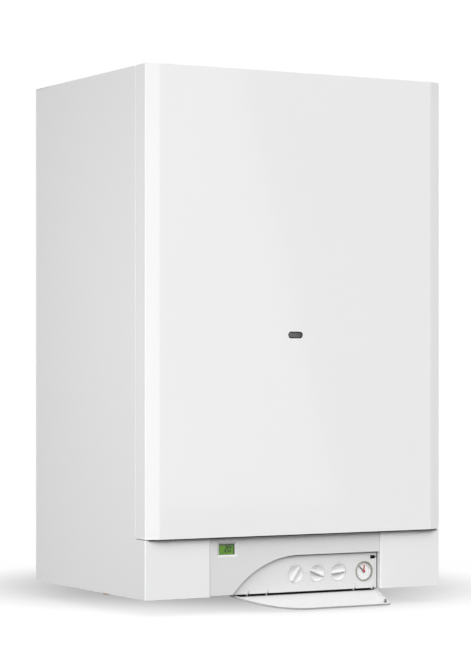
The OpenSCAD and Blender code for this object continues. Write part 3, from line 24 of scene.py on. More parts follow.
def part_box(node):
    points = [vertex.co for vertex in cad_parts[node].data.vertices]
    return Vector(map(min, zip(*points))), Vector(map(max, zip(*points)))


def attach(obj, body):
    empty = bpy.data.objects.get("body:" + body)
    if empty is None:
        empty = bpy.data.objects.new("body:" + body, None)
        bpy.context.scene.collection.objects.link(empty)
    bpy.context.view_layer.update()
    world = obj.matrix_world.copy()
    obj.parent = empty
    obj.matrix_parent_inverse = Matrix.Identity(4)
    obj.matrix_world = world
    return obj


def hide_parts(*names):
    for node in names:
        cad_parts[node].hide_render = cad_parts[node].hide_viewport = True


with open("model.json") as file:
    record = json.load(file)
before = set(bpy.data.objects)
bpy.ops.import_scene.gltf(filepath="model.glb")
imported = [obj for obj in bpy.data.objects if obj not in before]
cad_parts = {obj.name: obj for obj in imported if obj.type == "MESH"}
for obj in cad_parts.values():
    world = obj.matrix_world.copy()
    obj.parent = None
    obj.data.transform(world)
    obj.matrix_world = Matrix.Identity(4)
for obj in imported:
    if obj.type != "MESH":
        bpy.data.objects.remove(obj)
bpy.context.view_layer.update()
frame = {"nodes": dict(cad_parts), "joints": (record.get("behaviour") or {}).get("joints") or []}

Array = np.ndarray
Corner = tuple[float, float]
Colour = tuple[float, float, float]

MM = 0.001
NOISE_RANGE = (0.2, 0.8)
COAT_ROUGHNESS = 0.04
MIX_A, MIX_B, MIX_RESULT = 6, 7, 2
CASE_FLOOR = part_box("left_side_panel")[0].z
LOG = logging.getLogger("boiler")


class Plane(Enum):
    """How an outline's u and v and its depth are laid out in space."""

    FRONT = (0, 2, 1)
    FLAT = (0, 1, 2)
    SIDE = (1, 2, 0)


class Side(Enum):
    """Left and right of the case, as seen from the front."""

    LEFT = -1
    RIGHT = 1


class Relief(Enum):
    """The kind of fine relief that a finish shows."""

    PEEL = "peel"
    GRAIN = "grain"
    BRUSHED = "brushed"
    SPANGLE = "spangle"
    FIBRE = "fibre"


RELIEF_NOISE = {
    Relief.PEEL: (1.0, (1, 1, 1)),
    Relief.GRAIN: (3.0, (1, 1, 1)),
    Relief.BRUSHED: (3.0, (1, 0.04, 1)),
    Relief.FIBRE: (6.0, (1, 1, 0.3)),
}


def span(node: str) -> tuple[Array, Array]:
    """Lowest and highest corner of a construction node.

    Args:
        node: Name of the node.

    Returns:
        Two points in case millimetres.
    """
    low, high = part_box(node)
    shift = np.array([0.0, 0.0, CASE_FLOOR])
    return (np.array(low) - shift) / MM, (np.array(high) - shift) / MM


def middle(node: str) -> Array:
    """Centre of a construction node's box, in case millimetres."""
    low, high = span(node)
    return (low + high) / 2


def pivot(joint: str) -> Array:
    """Place of a hinge, in case millimetres."""
    found = next(j for j in frame["joints"] if j["name"] == joint)
    return (np.array(found["pos_m"]) - [0.0, 0.0, CASE_FLOOR]) / MM


def srgb(red: int, green: int, blue: int) -> Colour:
    """Screen colour from 0 to 255 as the linear colour that a shader takes.

    Args:
        red: Red level.
        green: Green level.
        blue: Blue level.

    Returns:
        Linear colour.
    """
    level = np.array([red, green, blue]) / 255
    linear = np.where(level <= 0.04045, level / 12.92, ((level + 0.055) / 1.055) ** 2.4)
    return tuple(float(x) for x in linear)


# Surfaces


@dataclass
class Surface:
    """Points in case millimetres and the faces between them."""

    points: Array
    faces: list[tuple[int, ...]]

    def __add__(self, other: Surface) -> Surface:
        """Both surfaces as one."""
        start = len(self.points)
        moved = [tuple(start + i for i in face) for face in other.faces]
        return Surface(np.vstack([self.points, other.points]), self.faces + moved)

    def moved(self, x: float = 0.0, y: float = 0.0, z: float = 0.0) -> Surface:
        """The surface shifted by x, y and z."""
        return Surface(self.points + [x, y, z], self.faces)

    def turned(self, axis: int, degrees: float, about: Sequence[float] = (0, 0, 0)) -> Surface:
        """The surface turned by the right-hand rule.

        Args:
            axis: 0, 1 or 2 for X, Y or Z.
            degrees: Angle of the turn.
            about: A point on the axis.

        Returns:
            The turned surface.
        """
        a, b = (axis + 1) % 3, (axis + 2) % 3
        turn = np.eye(3)
        c, s = math.cos(math.radians(degrees)), math.sin(math.radians(degrees))
        turn[[a, a, b, b], [a, b, a, b]] = [c, -s, s, c]
        centre = np.array(about, float)
        return Surface((self.points - centre) @ turn.T + centre, self.faces)

    def mirrored(self) -> Surface:
        """The surface reflected from right to left."""
        return Surface(self.points * [-1, 1, 1], [face[::-1] for face in self.faces])


def joined(parts: Iterable[Surface]) -> Surface:
    """Several surfaces as one."""
    whole, *others = parts
    for part in others:
        whole = whole + part
    return whole


def grid(points: Array, wrap_rows: bool = False) -> Surface:
    """Quads over a grid of points whose last column joins the first.

    Args:
        points: Array of rows, columns and 3 coordinates.
        wrap_rows: Whether the last row joins the first too.

    Returns:
        The surface; four neighbouring points make each face.
    """
    rows, columns = points.shape[:2]
    r, c = np.meshgrid(np.arange(rows if wrap_rows else rows - 1), np.arange(columns), indexing="ij")
    down, across = (r + 1) % rows, (c + 1) % columns
    corners = [r * columns + c, r * columns + across, down * columns + across, down * columns + c]
    quads = np.stack(corners, -1).reshape(-1, 4)
    return Surface(points.reshape(-1, 3), [tuple(quad) for quad in quads.tolist()])


def offset(outline: Array, distance: float, closed: bool = True) -> Array:
    """An outline moved to its left by a distance.

    Each point goes along the mean of its two edges' normals, lengthened by the
    mitre rule so that both edges move by the same distance.

    Args:
        outline: Points of shape (n, 2); anticlockwise ones move inwards.
        distance: How far the edges move.
        closed: Whether the last point joins the first.

    Returns:
        The moved points.
    """
    step = np.roll(outline, -1, axis=0) - outline
    if not closed:
        step[-1] = step[-2]
    normal = np.stack([-step[:, 1], step[:, 0]], -1) / np.linalg.norm(step, axis=1)[:, None]
    before = np.roll(normal, 1, axis=0)
    if not closed:
        before[0] = normal[0]
    mitre = (normal + before) / (1 + np.sum(normal * before, axis=1))[:, None]
    return outline + distance * mitre


def around(steps: int) -> Array:
    """Angles that part a whole turn into equal steps."""
    return np.linspace(0, 2 * np.pi, steps, endpoint=False)


def circle(radius: float, centre: Corner, steps: int = 64) -> Array:
    """Anticlockwise circle of points."""
    angle = around(steps)
    return np.stack([np.cos(angle), np.sin(angle)], -1) * radius + np.array(centre)


def ring(radius: float | Array, height: float | Array, angle: Array) -> Array:
    """Points round an upright axis, whose radius and height may be arrays of rows and angles."""
    return np.stack(np.broadcast_arrays(radius * np.cos(angle), radius * np.sin(angle), height), -1)


def clockwise(outline: Array, degrees: float) -> Array:
    """Flat points turned clockwise about their origin."""
    c, s = math.cos(math.radians(degrees)), math.sin(math.radians(degrees))
    return outline @ np.array([[c, -s], [s, c]])


def arc(centre: Corner, radius: float, start: float, end: float, steps: int = 12) -> Array:
    """Points on an arc from one angle to another, in degrees."""
    angle = np.radians(np.linspace(start, end, steps + 1))
    return np.stack([np.cos(angle), np.sin(angle)], -1) * radius + np.array(centre)


def rounded(corners: Sequence[Corner], radii: Sequence[float], closed: bool = False,
            steps: int = 8) -> Array:
    """A path whose corners are rounded by arcs.

    Each corner gives way to the arc that touches both of its edges.

    Args:
        corners: Corners of the path.
        radii: Radius at each corner; 0 keeps it sharp.
        closed: Whether the path returns to its start.
        steps: Edges in each arc.

    Returns:
        Points of shape (n, 2).
    """
    points = [np.array(c, float) for c in corners]
    out: list[Array] = []
    for i, (here, radius) in enumerate(zip(points, radii)):
        if radius <= 0 or (not closed and i in (0, len(points) - 1)):
            out.append(here[None])
            continue
        back = points[i - 1] - here
        on = points[(i + 1) % len(points)] - here
        back, on = back / np.linalg.norm(back), on / np.linalg.norm(on)
        half = math.acos(float(np.clip(back @ on, -1, 1))) / 2
        reach = radius / math.tan(half)
        centre = here + (back + on) / np.linalg.norm(back + on) * radius / math.sin(half)
        a, b = here + back * reach - centre, here + on * reach - centre
        share = np.linspace(0, 1, steps + 1)[:, None]
        sweep = math.pi - 2 * half
        blend = (np.sin((1 - share) * sweep) * a + np.sin(share * sweep) * b) / math.sin(sweep)
        out.append(centre + blend)
    return np.vstack(out)


def box_outline(low: Corner, high: Corner, radius: float = 0.0, steps: int = 6) -> Array:
    """Anticlockwise rectangle between two corners, with rounded corners."""
    corners = [low, (high[0], low[1]), high, (low[0], high[1])]
    return rounded(corners, [radius] * 4, closed=True, steps=steps)


def pill(width: float, height: float, centre: Corner = (0, 0), steps: int = 16) -> Array:
    """Anticlockwise outline of a bar with half-round ends."""
    reach, r = (width - height) / 2, height / 2
    right = arc((centre[0] + reach, centre[1]), r, -90, 90, steps)
    left = arc((centre[0] - reach, centre[1]), r, 90, 270, steps)
    return np.vstack([right, left])


def edge_profile(front: float, back: float, lead: float, tail: float, steps: int = 4) -> Array:
    """How a plate's edge runs from its front face to its back face.

    A quarter circle of radius lead rounds the front edge and one of radius
    tail rounds the back edge.

    Args:
        front: Depth of the front face.
        back: Depth of the back face.
        lead: Radius of the front edge.
        tail: Radius of the back edge.
        steps: Edges in each quarter circle.

    Returns:
        Pairs of inset and depth.
    """
    t = np.linspace(0, np.pi / 2, steps + 1)
    sense = math.copysign(1, back - front)
    first = np.stack([lead * (1 - np.sin(t)), front + sense * lead * (1 - np.cos(t))], -1)
    last = np.stack([tail * (1 - np.cos(t)), back - sense * tail * (1 - np.sin(t))], -1)
    return np.vstack([first, last])


def lay(points: Array, depth: float, plane: Plane) -> Array:
    """Flat points set in space at a depth, on one of the three planes."""
    out = np.empty((len(points), 3))
    u, v, w = plane.value
    out[:, u], out[:, v], out[:, w] = points[:, 0], points[:, 1], depth
    return out


def stamp(outline: Array, profile: Array, plane: Plane, holes: Sequence[Array] = ()) -> Surface:
    """A plate cut to an outline, with holes, whose every edge follows a profile.

    The outline is carried along the profile: at each of the profile's points it
    is drawn in by the inset and set at the depth, while the holes grow by the
    same inset. The first and last rings are filled flat between their rims.

    Args:
        outline: Anticlockwise outer outline.
        profile: Pairs of inset and depth, from the front face to the back.
        plane: Plane that the outline lies on.
        holes: Anticlockwise outlines of the holes.

    Returns:
        A closed surface.
    """
    rims = [(outline, 1.0)] + [(hole, -1.0) for hole in holes]
    shells = []
    faces: list[tuple[int, ...]] = []
    ends: dict[int, list[Array]] = {0: [], -1: []}
    starts: dict[int, list[int]] = {0: [], -1: []}
    total = 0
    for rim, sign in rims:
        rings = [offset(rim, sign * inset) for inset in profile[:, 0]]
        placed = np.stack([lay(points, depth, plane) for points, depth in zip(rings, profile[:, 1])])
        shell = grid(placed)
        shells.append(shell.points)
        faces += [tuple(total + i for i in face) for face in shell.faces]
        for end in ends:
            ends[end].append(rings[end])
            starts[end].append(total + (len(rim) * (len(profile) - 1) if end else 0))
        total += len(shell.points)
    for end, flat in ends.items():
        index = np.concatenate([start + np.arange(len(rim)) for start, rim in zip(starts[end], flat)])
        fill = tessellate_polygon([[Vector((*p, 0.0)) for p in rim] for rim in flat])
        faces += [tuple(int(index[i]) for i in face) for face in fill]
    return Surface(np.vstack(shells), faces)


def prism(outline: Array, low: float, high: float, plane: Plane) -> Surface:
    """A sharp-edged plate between two depths."""
    return stamp(outline, np.array([[0, low], [0, high]]), plane)


def plate(outline: Array, front: float, back: float, lead: float, tail: float = 0.1, steps: int = 4,
          plane: Plane = Plane.FRONT, holes: Sequence[Array] = ()) -> Surface:
    """A plate between two depths with rounded edges.

    Args:
        outline: Anticlockwise outline.
        front: Depth of the front face.
        back: Depth of the back face.
        lead: Radius of the front edge.
        tail: Radius of the back edge.
        steps: Edges in each rounding.
        plane: Plane that the outline lies on.
        holes: Anticlockwise outlines of the holes.

    Returns:
        A closed surface.
    """
    return stamp(outline, edge_profile(front, back, lead, tail, steps), plane, holes)


def revolve(profile: Sequence[Corner], axis: int, centre: Sequence[float], steps: int = 64,
            wrap: bool = False) -> Surface:
    """A profile turned about an axis.

    A point at radius r and height h goes to centre + r (cos a, sin a) + h along
    the axis, for a whole turn of a.

    Args:
        profile: Pairs of radius and height.
        axis: 0, 1 or 2 for X, Y or Z.
        centre: A point on the axis, where the height is 0.
        steps: Copies round the turn.
        wrap: Whether the profile returns to its start.

    Returns:
        The turned surface, closed where the profile ends on the axis.
    """
    radius, height = np.array(profile, float).T
    angle = around(steps)
    points = np.empty((len(radius), steps, 3))
    points[..., (axis + 1) % 3] = np.outer(radius, np.cos(angle))
    points[..., (axis + 2) % 3] = np.outer(radius, np.sin(angle))
    points[..., axis] = height[:, None]
    return grid(points + np.array(centre, float), wrap_rows=wrap)


def bar(low: Sequence[float], high: Sequence[float], edge: float = 0.3) -> Surface:
    """A block between two corners with its upright and front edges rounded."""
    return plate(box_outline((low[0], low[2]), (high[0], high[2]), edge), low[1], high[1], edge, edge)


def tube(inner: float, outer: float, low: float, high: float) -> list[Corner]:
    """Profile of a plain ring, as pairs of radius and height."""
    return [(inner, low), (outer, low), (outer, high), (inner, high)]


def printed(outline: Array, depth: float) -> Surface:
    """A thin printed shape on a front face at a depth."""
    return plate(outline, depth - 0.06, depth + 0.1, 0.02, 0.0, 1)


def folded_sheet(path: Array, thickness: float, low: float, high: float) -> Surface:
    """Sheet folded along a path in plan and standing between two heights.

    Args:
        path: Outer line of the sheet; the thickness goes to its left.
        thickness: Thickness of the sheet.
        low: Height of the lower edge.
        high: Height of the upper edge.

    Returns:
        A closed surface.
    """
    inner = offset(path, thickness, closed=False)
    return prism(np.vstack([path, inner[::-1]])[::-1], low, high, Plane.FLAT)


# Finishes


class Nodes:
    """A node tree under construction."""

    def __init__(self, tree: bpy.types.NodeTree) -> None:
        """Takes the tree that the nodes go into."""
        self.tree = tree

    def add(self, kind: str, **values: object) -> bpy.types.Node:
        """Adds a node.

        Args:
            kind: Blender's name for the node's type.
            **values: Inputs by name, or the node's own settings.

        Returns:
            The new node.
        """
        node = self.tree.nodes.new(kind)
        for key, value in values.items():
            if key in node.inputs:
                node.inputs[key].default_value = value
            else:
                setattr(node, key, value)
        return node

    def link(self, source: bpy.types.NodeSocket, target: bpy.types.NodeSocket) -> None:
        """Joins two sockets."""
        self.tree.links.new(source, target)

    def ranged(self, value: bpy.types.NodeSocket, start: Corner, end: Corner,
               steps: str = "LINEAR") -> bpy.types.NodeSocket:
        """Maps a value from one range onto another.

        Args:
            value: Socket with the value.
            start: Lowest and highest value taken.
            end: What they become.
            steps: Blender's name for the way between them.

        Returns:
            The socket with the mapped value.
        """
        node = self.add("ShaderNodeMapRange", interpolation_type=steps)
        for key, number in zip(("From Min", "From Max", "To Min", "To Max"), (*start, *end)):
            node.inputs[key].default_value = number
        self.link(value, node.inputs["Value"])
        return node.outputs["Result"]

    def combined(self, operation: str, a: bpy.types.NodeSocket,
                 b: bpy.types.NodeSocket) -> bpy.types.NodeSocket:
        """Two sockets joined by one of Blender's Math operations."""
        node = self.add("ShaderNodeMath", operation=operation)
        self.link(a, node.inputs[0])
        self.link(b, node.inputs[1])
        return node.outputs["Value"]

    def seen(self) -> bpy.types.NodeSocket:
        """1 for what is seen straight, in gloss or through glass, and 0 where it only gives light."""
        path = self.add("ShaderNodeLightPath").outputs
        straight = self.combined("MAXIMUM", path["Is Camera Ray"], path["Is Glossy Ray"])
        return self.combined("MAXIMUM", straight, path["Is Transmission Ray"])


class Shader(Nodes):
    """A material under construction: its nodes and the links between them."""

    def __init__(self, name: str) -> None:
        """Starts an empty material with a Principled shader.

        Args:
            name: Name of the material.
        """
        self.material = bpy.data.materials.new(name)
        self.material.use_nodes = True
        super().__init__(self.material.node_tree)
        self.surface = self.tree.nodes["Principled BSDF"]
        self.place = self.add("ShaderNodeTexCoord").outputs["Object"]

    def noise(self, size: float, detail: float = 2.0,
              stretch: Sequence[float] = (1, 1, 1)) -> bpy.types.NodeSocket:
        """Noise with features of about size millimetres.

        Args:
            size: Size of a feature.
            detail: Octaves of finer noise.
            stretch: Scale along each axis.

        Returns:
            The socket with the noise's value.
        """
        mapping = self.add("ShaderNodeMapping")
        mapping.inputs["Scale"].default_value = stretch
        self.link(self.place, mapping.inputs["Vector"])
        texture = self.add("ShaderNodeTexNoise", Scale=1 / (size * MM), Detail=detail)
        self.link(mapping.outputs["Vector"], texture.inputs["Vector"])
        return texture.outputs["Fac"]

    def spread(self, value: bpy.types.NodeSocket, low: float, high: float) -> bpy.types.NodeSocket:
        """Maps noise from its usual range onto low to high."""
        return self.ranged(value, NOISE_RANGE, (low, high))


@dataclass(frozen=True)
class Finish:
    """A solid finish: its colour, gloss and fine relief."""

    name: str
    colour: Colour
    roughness: float = 0.4
    metallic: float = 0.0
    relief: Relief = Relief.GRAIN
    relief_size: float = 0.5
    relief_depth: float = 0.01
    drift: float = 0.03
    drift_size: float = 60.0
    gloss_drift: float = 0.05
    coat: float = 0.0
    alpha: float = 1.0
    # Light that the surface gives off though it is no lamp: painted light.
    painted_glow: float = 0.0

    def build(self) -> bpy.types.Material:
        """The finish as a Blender material, made once.

        Returns:
            The material.
        """
        known = bpy.data.materials.get(self.name)
        if known:
            return known
        shader = Shader(self.name)
        surface = shader.surface.inputs
        surface["Metallic"].default_value = self.metallic
        surface["Alpha"].default_value = self.alpha
        surface["Coat Weight"].default_value = self.coat
        surface["Coat Roughness"].default_value = COAT_ROUGHNESS
        if self.painted_glow:
            surface["Emission Color"].default_value = (*self.colour, 1)
            surface["Emission Strength"].default_value = self.painted_glow
        self.tint(shader, surface["Base Color"])
        drift = shader.noise(self.drift_size / 2)
        gloss = shader.spread(drift, self.roughness - self.gloss_drift, self.roughness + self.gloss_drift)
        shader.link(gloss, surface["Roughness"])
        bump = shader.add("ShaderNodeBump", Strength=1.0, Distance=self.relief_depth * MM)
        shader.link(self.height(shader), bump.inputs["Height"])
        shader.link(bump.outputs["Normal"], surface["Normal"])
        return shader.material

    def tint(self, shader: Shader, target: bpy.types.NodeSocket) -> None:
        """Lets the colour drift a little over the surface.

        Args:
            shader: Material under construction.
            target: Colour socket.
        """
        mix = shader.add("ShaderNodeMix", data_type="RGBA")
        for socket, sign in ((MIX_A, -1), (MIX_B, 1)):
            tone = (min(1.0, c * (1 + sign * self.drift)) for c in self.colour)
            mix.inputs[socket].default_value = (*tone, 1)
        shader.link(shader.spread(self.pattern(shader), 0, 1), mix.inputs["Factor"])
        shader.link(mix.outputs[MIX_RESULT], target)

    def pattern(self, shader: Shader) -> bpy.types.NodeSocket:
        """The pattern that the colour follows."""
        if self.relief is Relief.SPANGLE:
            return self.cells(shader)
        return shader.noise(self.drift_size)

    def cells(self, shader: Shader) -> bpy.types.NodeSocket:
        """Flat crystals of zinc, each with its own tone."""
        texture = shader.add("ShaderNodeTexVoronoi", Scale=1 / (self.relief_size * MM))
        shader.link(shader.place, texture.inputs["Vector"])
        split = shader.add("ShaderNodeSeparateColor")
        shader.link(texture.outputs["Color"], split.inputs["Color"])
        return split.outputs["Red"]

    def height(self, shader: Shader) -> bpy.types.NodeSocket:
        """The height of the fine relief.

        Args:
            shader: Material under construction.

        Returns:
            The socket with the height.
        """
        if self.relief is Relief.SPANGLE:
            return self.cells(shader)
        detail, stretch = RELIEF_NOISE[self.relief]
        return shader.noise(self.relief_size, detail, stretch)


class Paint:
    """The finishes of this boiler."""

    FRONT = Finish("front_enamel", srgb(239, 239, 239), 0.07, relief=Relief.PEEL, relief_size=2.2,
                   relief_depth=0.0015, drift=0.006, drift_size=300, gloss_drift=0.01)
    CASE = Finish("case_enamel", srgb(236, 236, 237), 0.3, relief=Relief.PEEL, relief_size=1.6,
                  relief_depth=0.003, drift=0.004, drift_size=240, gloss_drift=0.01)
    MOULDED = Finish("white_moulding", srgb(221, 221, 221), 0.42, relief_size=0.35, relief_depth=0.006,
                     drift=0.012, drift_size=90)
    # The same plastic as the moulding, painted darker to offset the stronger light on the opened flap's
    # upturned inside: painted shade.
    FLAP_PAINTED_DARKER = Finish("flap_moulding_painted_darker", srgb(210, 210, 210), 0.36, relief_size=0.35, relief_depth=0.004,
                  drift=0.01, drift_size=80)
    KNOB = Finish("knob_moulding", srgb(226, 226, 226), 0.38, relief_size=0.3, relief_depth=0.004,
                  drift=0.01, drift_size=20)
    # Black moulding; also the black of the display's mask and of the latch's socket, which paint shade.
    BLACK_AND_SHADE = Finish("black_moulding_and_painted_shade", srgb(24, 24, 26), 0.5, relief_size=0.4, relief_depth=0.01, drift=0.1)
    GREY = Finish("grey_moulding", srgb(120, 122, 124), 0.5, relief_size=0.4, relief_depth=0.01, drift=0.05)
    # Black rubber of the seals and the gasket; also the black of the strips that paint shade under the front
    # panel, over the flap's hinge and along the recess's edge.
    RUBBER_AND_SHADE = Finish("rubber_and_painted_shade", srgb(30, 30, 31), 0.75, relief_size=0.6, relief_depth=0.02, drift=0.12)
    SIGHT = Finish("sight_glass_tint", srgb(16, 16, 18), 0.07, relief_size=4, relief_depth=0.001, coat=1.0,
                   drift=0.1, gloss_drift=0.01)
    ZINC = Finish("galvanised_sheet", srgb(186, 189, 192), 0.42, 0.9, Relief.SPANGLE, 7.0, 0.004, 0.09,
                  gloss_drift=0.08)
    STEEL = Finish("plated_steel", srgb(176, 178, 180), 0.3, 1.0, Relief.BRUSHED, 0.5, 0.004, 0.05)
    DARK_STEEL = Finish("heated_steel", srgb(140, 138, 136), 0.42, 1.0, Relief.BRUSHED, 0.6, 0.006, 0.12, 30)
    ALLOY = Finish("die_cast_alloy", srgb(168, 170, 172), 0.48, 1.0, Relief.GRAIN, 0.7, 0.03, 0.06, 25)
    COPPER = Finish("copper_pipe", srgb(196, 122, 86), 0.28, 1.0, Relief.GRAIN, 0.9, 0.004, 0.14, 35)
    BRASS = Finish("cast_brass", srgb(196, 160, 88), 0.32, 1.0, Relief.GRAIN, 0.7, 0.01, 0.08, 20)
    IRON = Finish("painted_casting", srgb(58, 60, 62), 0.55, relief_size=1.4, relief_depth=0.08, drift=0.1)
    GREEN = Finish("motor_enamel", srgb(38, 74, 56), 0.35, relief=Relief.PEEL, relief_size=1.2,
                   relief_depth=0.01, drift=0.06)
    RED_TANK = Finish("vessel_enamel", srgb(150, 32, 28), 0.32, relief=Relief.PEEL, relief_size=1.6,
                      relief_depth=0.008, drift=0.05)
    RED = Finish("red_moulding", srgb(186, 16, 52), 0.35, relief_size=0.4, relief_depth=0.004)
    BLUE = Finish("blue_moulding", srgb(36, 82, 160), 0.4, relief_size=0.4, relief_depth=0.01)
    CERAMIC = Finish("glazed_ceramic", srgb(236, 232, 220), 0.22, relief_size=1.5, relief_depth=0.004)
    BOARD = Finish("lacquered_board", srgb(24, 92, 46), 0.3, relief_size=0.8, relief_depth=0.01, drift=0.12,
                   drift_size=6)
    WOOL = Finish("ceramic_fibre", srgb(226, 222, 206), 0.95, relief=Relief.FIBRE, relief_size=1.2,
                  relief_depth=0.4, drift=0.06, drift_size=12)
    # The liquid crystal gives off a little light of its own colour, though it is no lamp: painted light.
    SCREEN = Finish("liquid_crystal", srgb(92, 142, 38), 0.25, relief_size=0.3, relief_depth=0.001,
                    drift=0.03, drift_size=14, painted_glow=0.04)
    SEGMENT = Finish("display_segment", srgb(10, 26, 10), 0.3, relief_size=0.3, relief_depth=0.001)
    DIAL = Finish("dial_print", srgb(250, 250, 249), 0.45, relief_size=0.4, relief_depth=0.002, drift=0.01)
    INK = Finish("black_print", srgb(28, 28, 30), 0.5, relief_size=0.3, relief_depth=0.001)
    PALE_INK = Finish("grey_print", srgb(150, 150, 150), 0.5, relief_size=0.3, relief_depth=0.001)
    BEZEL = Finish("bezel_metal", srgb(150, 148, 136), 0.28, 0.9, Relief.BRUSHED, 0.3, 0.003, 0.06, 12)
    CLEAR = Finish("clear_cover", srgb(250, 252, 252), 0.04, relief_size=6, relief_depth=0.0005, alpha=0.08,
                   gloss_drift=0.01)


# Pieces


@dataclass(frozen=True)
class Piece:
    """What a finished surface is called, what it moves with and what it stands for."""

    name: str
    finish: Finish
    body: str
    replaces: tuple[str, ...] = ()
    slot: str = ""
    sharp: float = 32.0

    def place(self, surface: Surface) -> bpy.types.Object:
        """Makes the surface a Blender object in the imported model's frame.

        Doubled points are merged and the faces are turned outwards. Edges
        sharper than the limit stay sharp, and flat faces keep their own normals.

        Args:
            surface: The piece in case millimetres.

        Returns:
            The object, which rides on its body.
        """
        metres = surface.points * MM + [0.0, 0.0, CASE_FLOOR]
        mesh = bpy.data.meshes.new(self.name)
        mesh.from_pydata(metres.tolist(), [], surface.faces)
        work = bmesh.new()
        work.from_mesh(mesh)
        bmesh.ops.remove_doubles(work, verts=work.verts, dist=1e-6)
        bmesh.ops.recalc_face_normals(work, faces=work.faces)
        work.to_mesh(mesh)
        work.free()
        mesh.polygons.foreach_set("use_smooth", np.ones(len(mesh.polygons), bool))
        mesh.set_sharp_from_angle(angle=math.radians(self.sharp))
        mesh.materials.append(self.finish.build())
        thing = bpy.data.objects.new(self.name, mesh)
        bpy.context.scene.collection.objects.link(thing)
        normals = thing.modifiers.new("flat_faces", "WEIGHTED_NORMAL")
        normals.keep_sharp = True
        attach(thing, self.body)
        if self.replaces:
            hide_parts(*self.replaces)
        LOG.info("%s: %d faces on %s", self.name, len(mesh.polygons), self.body)
        return thing


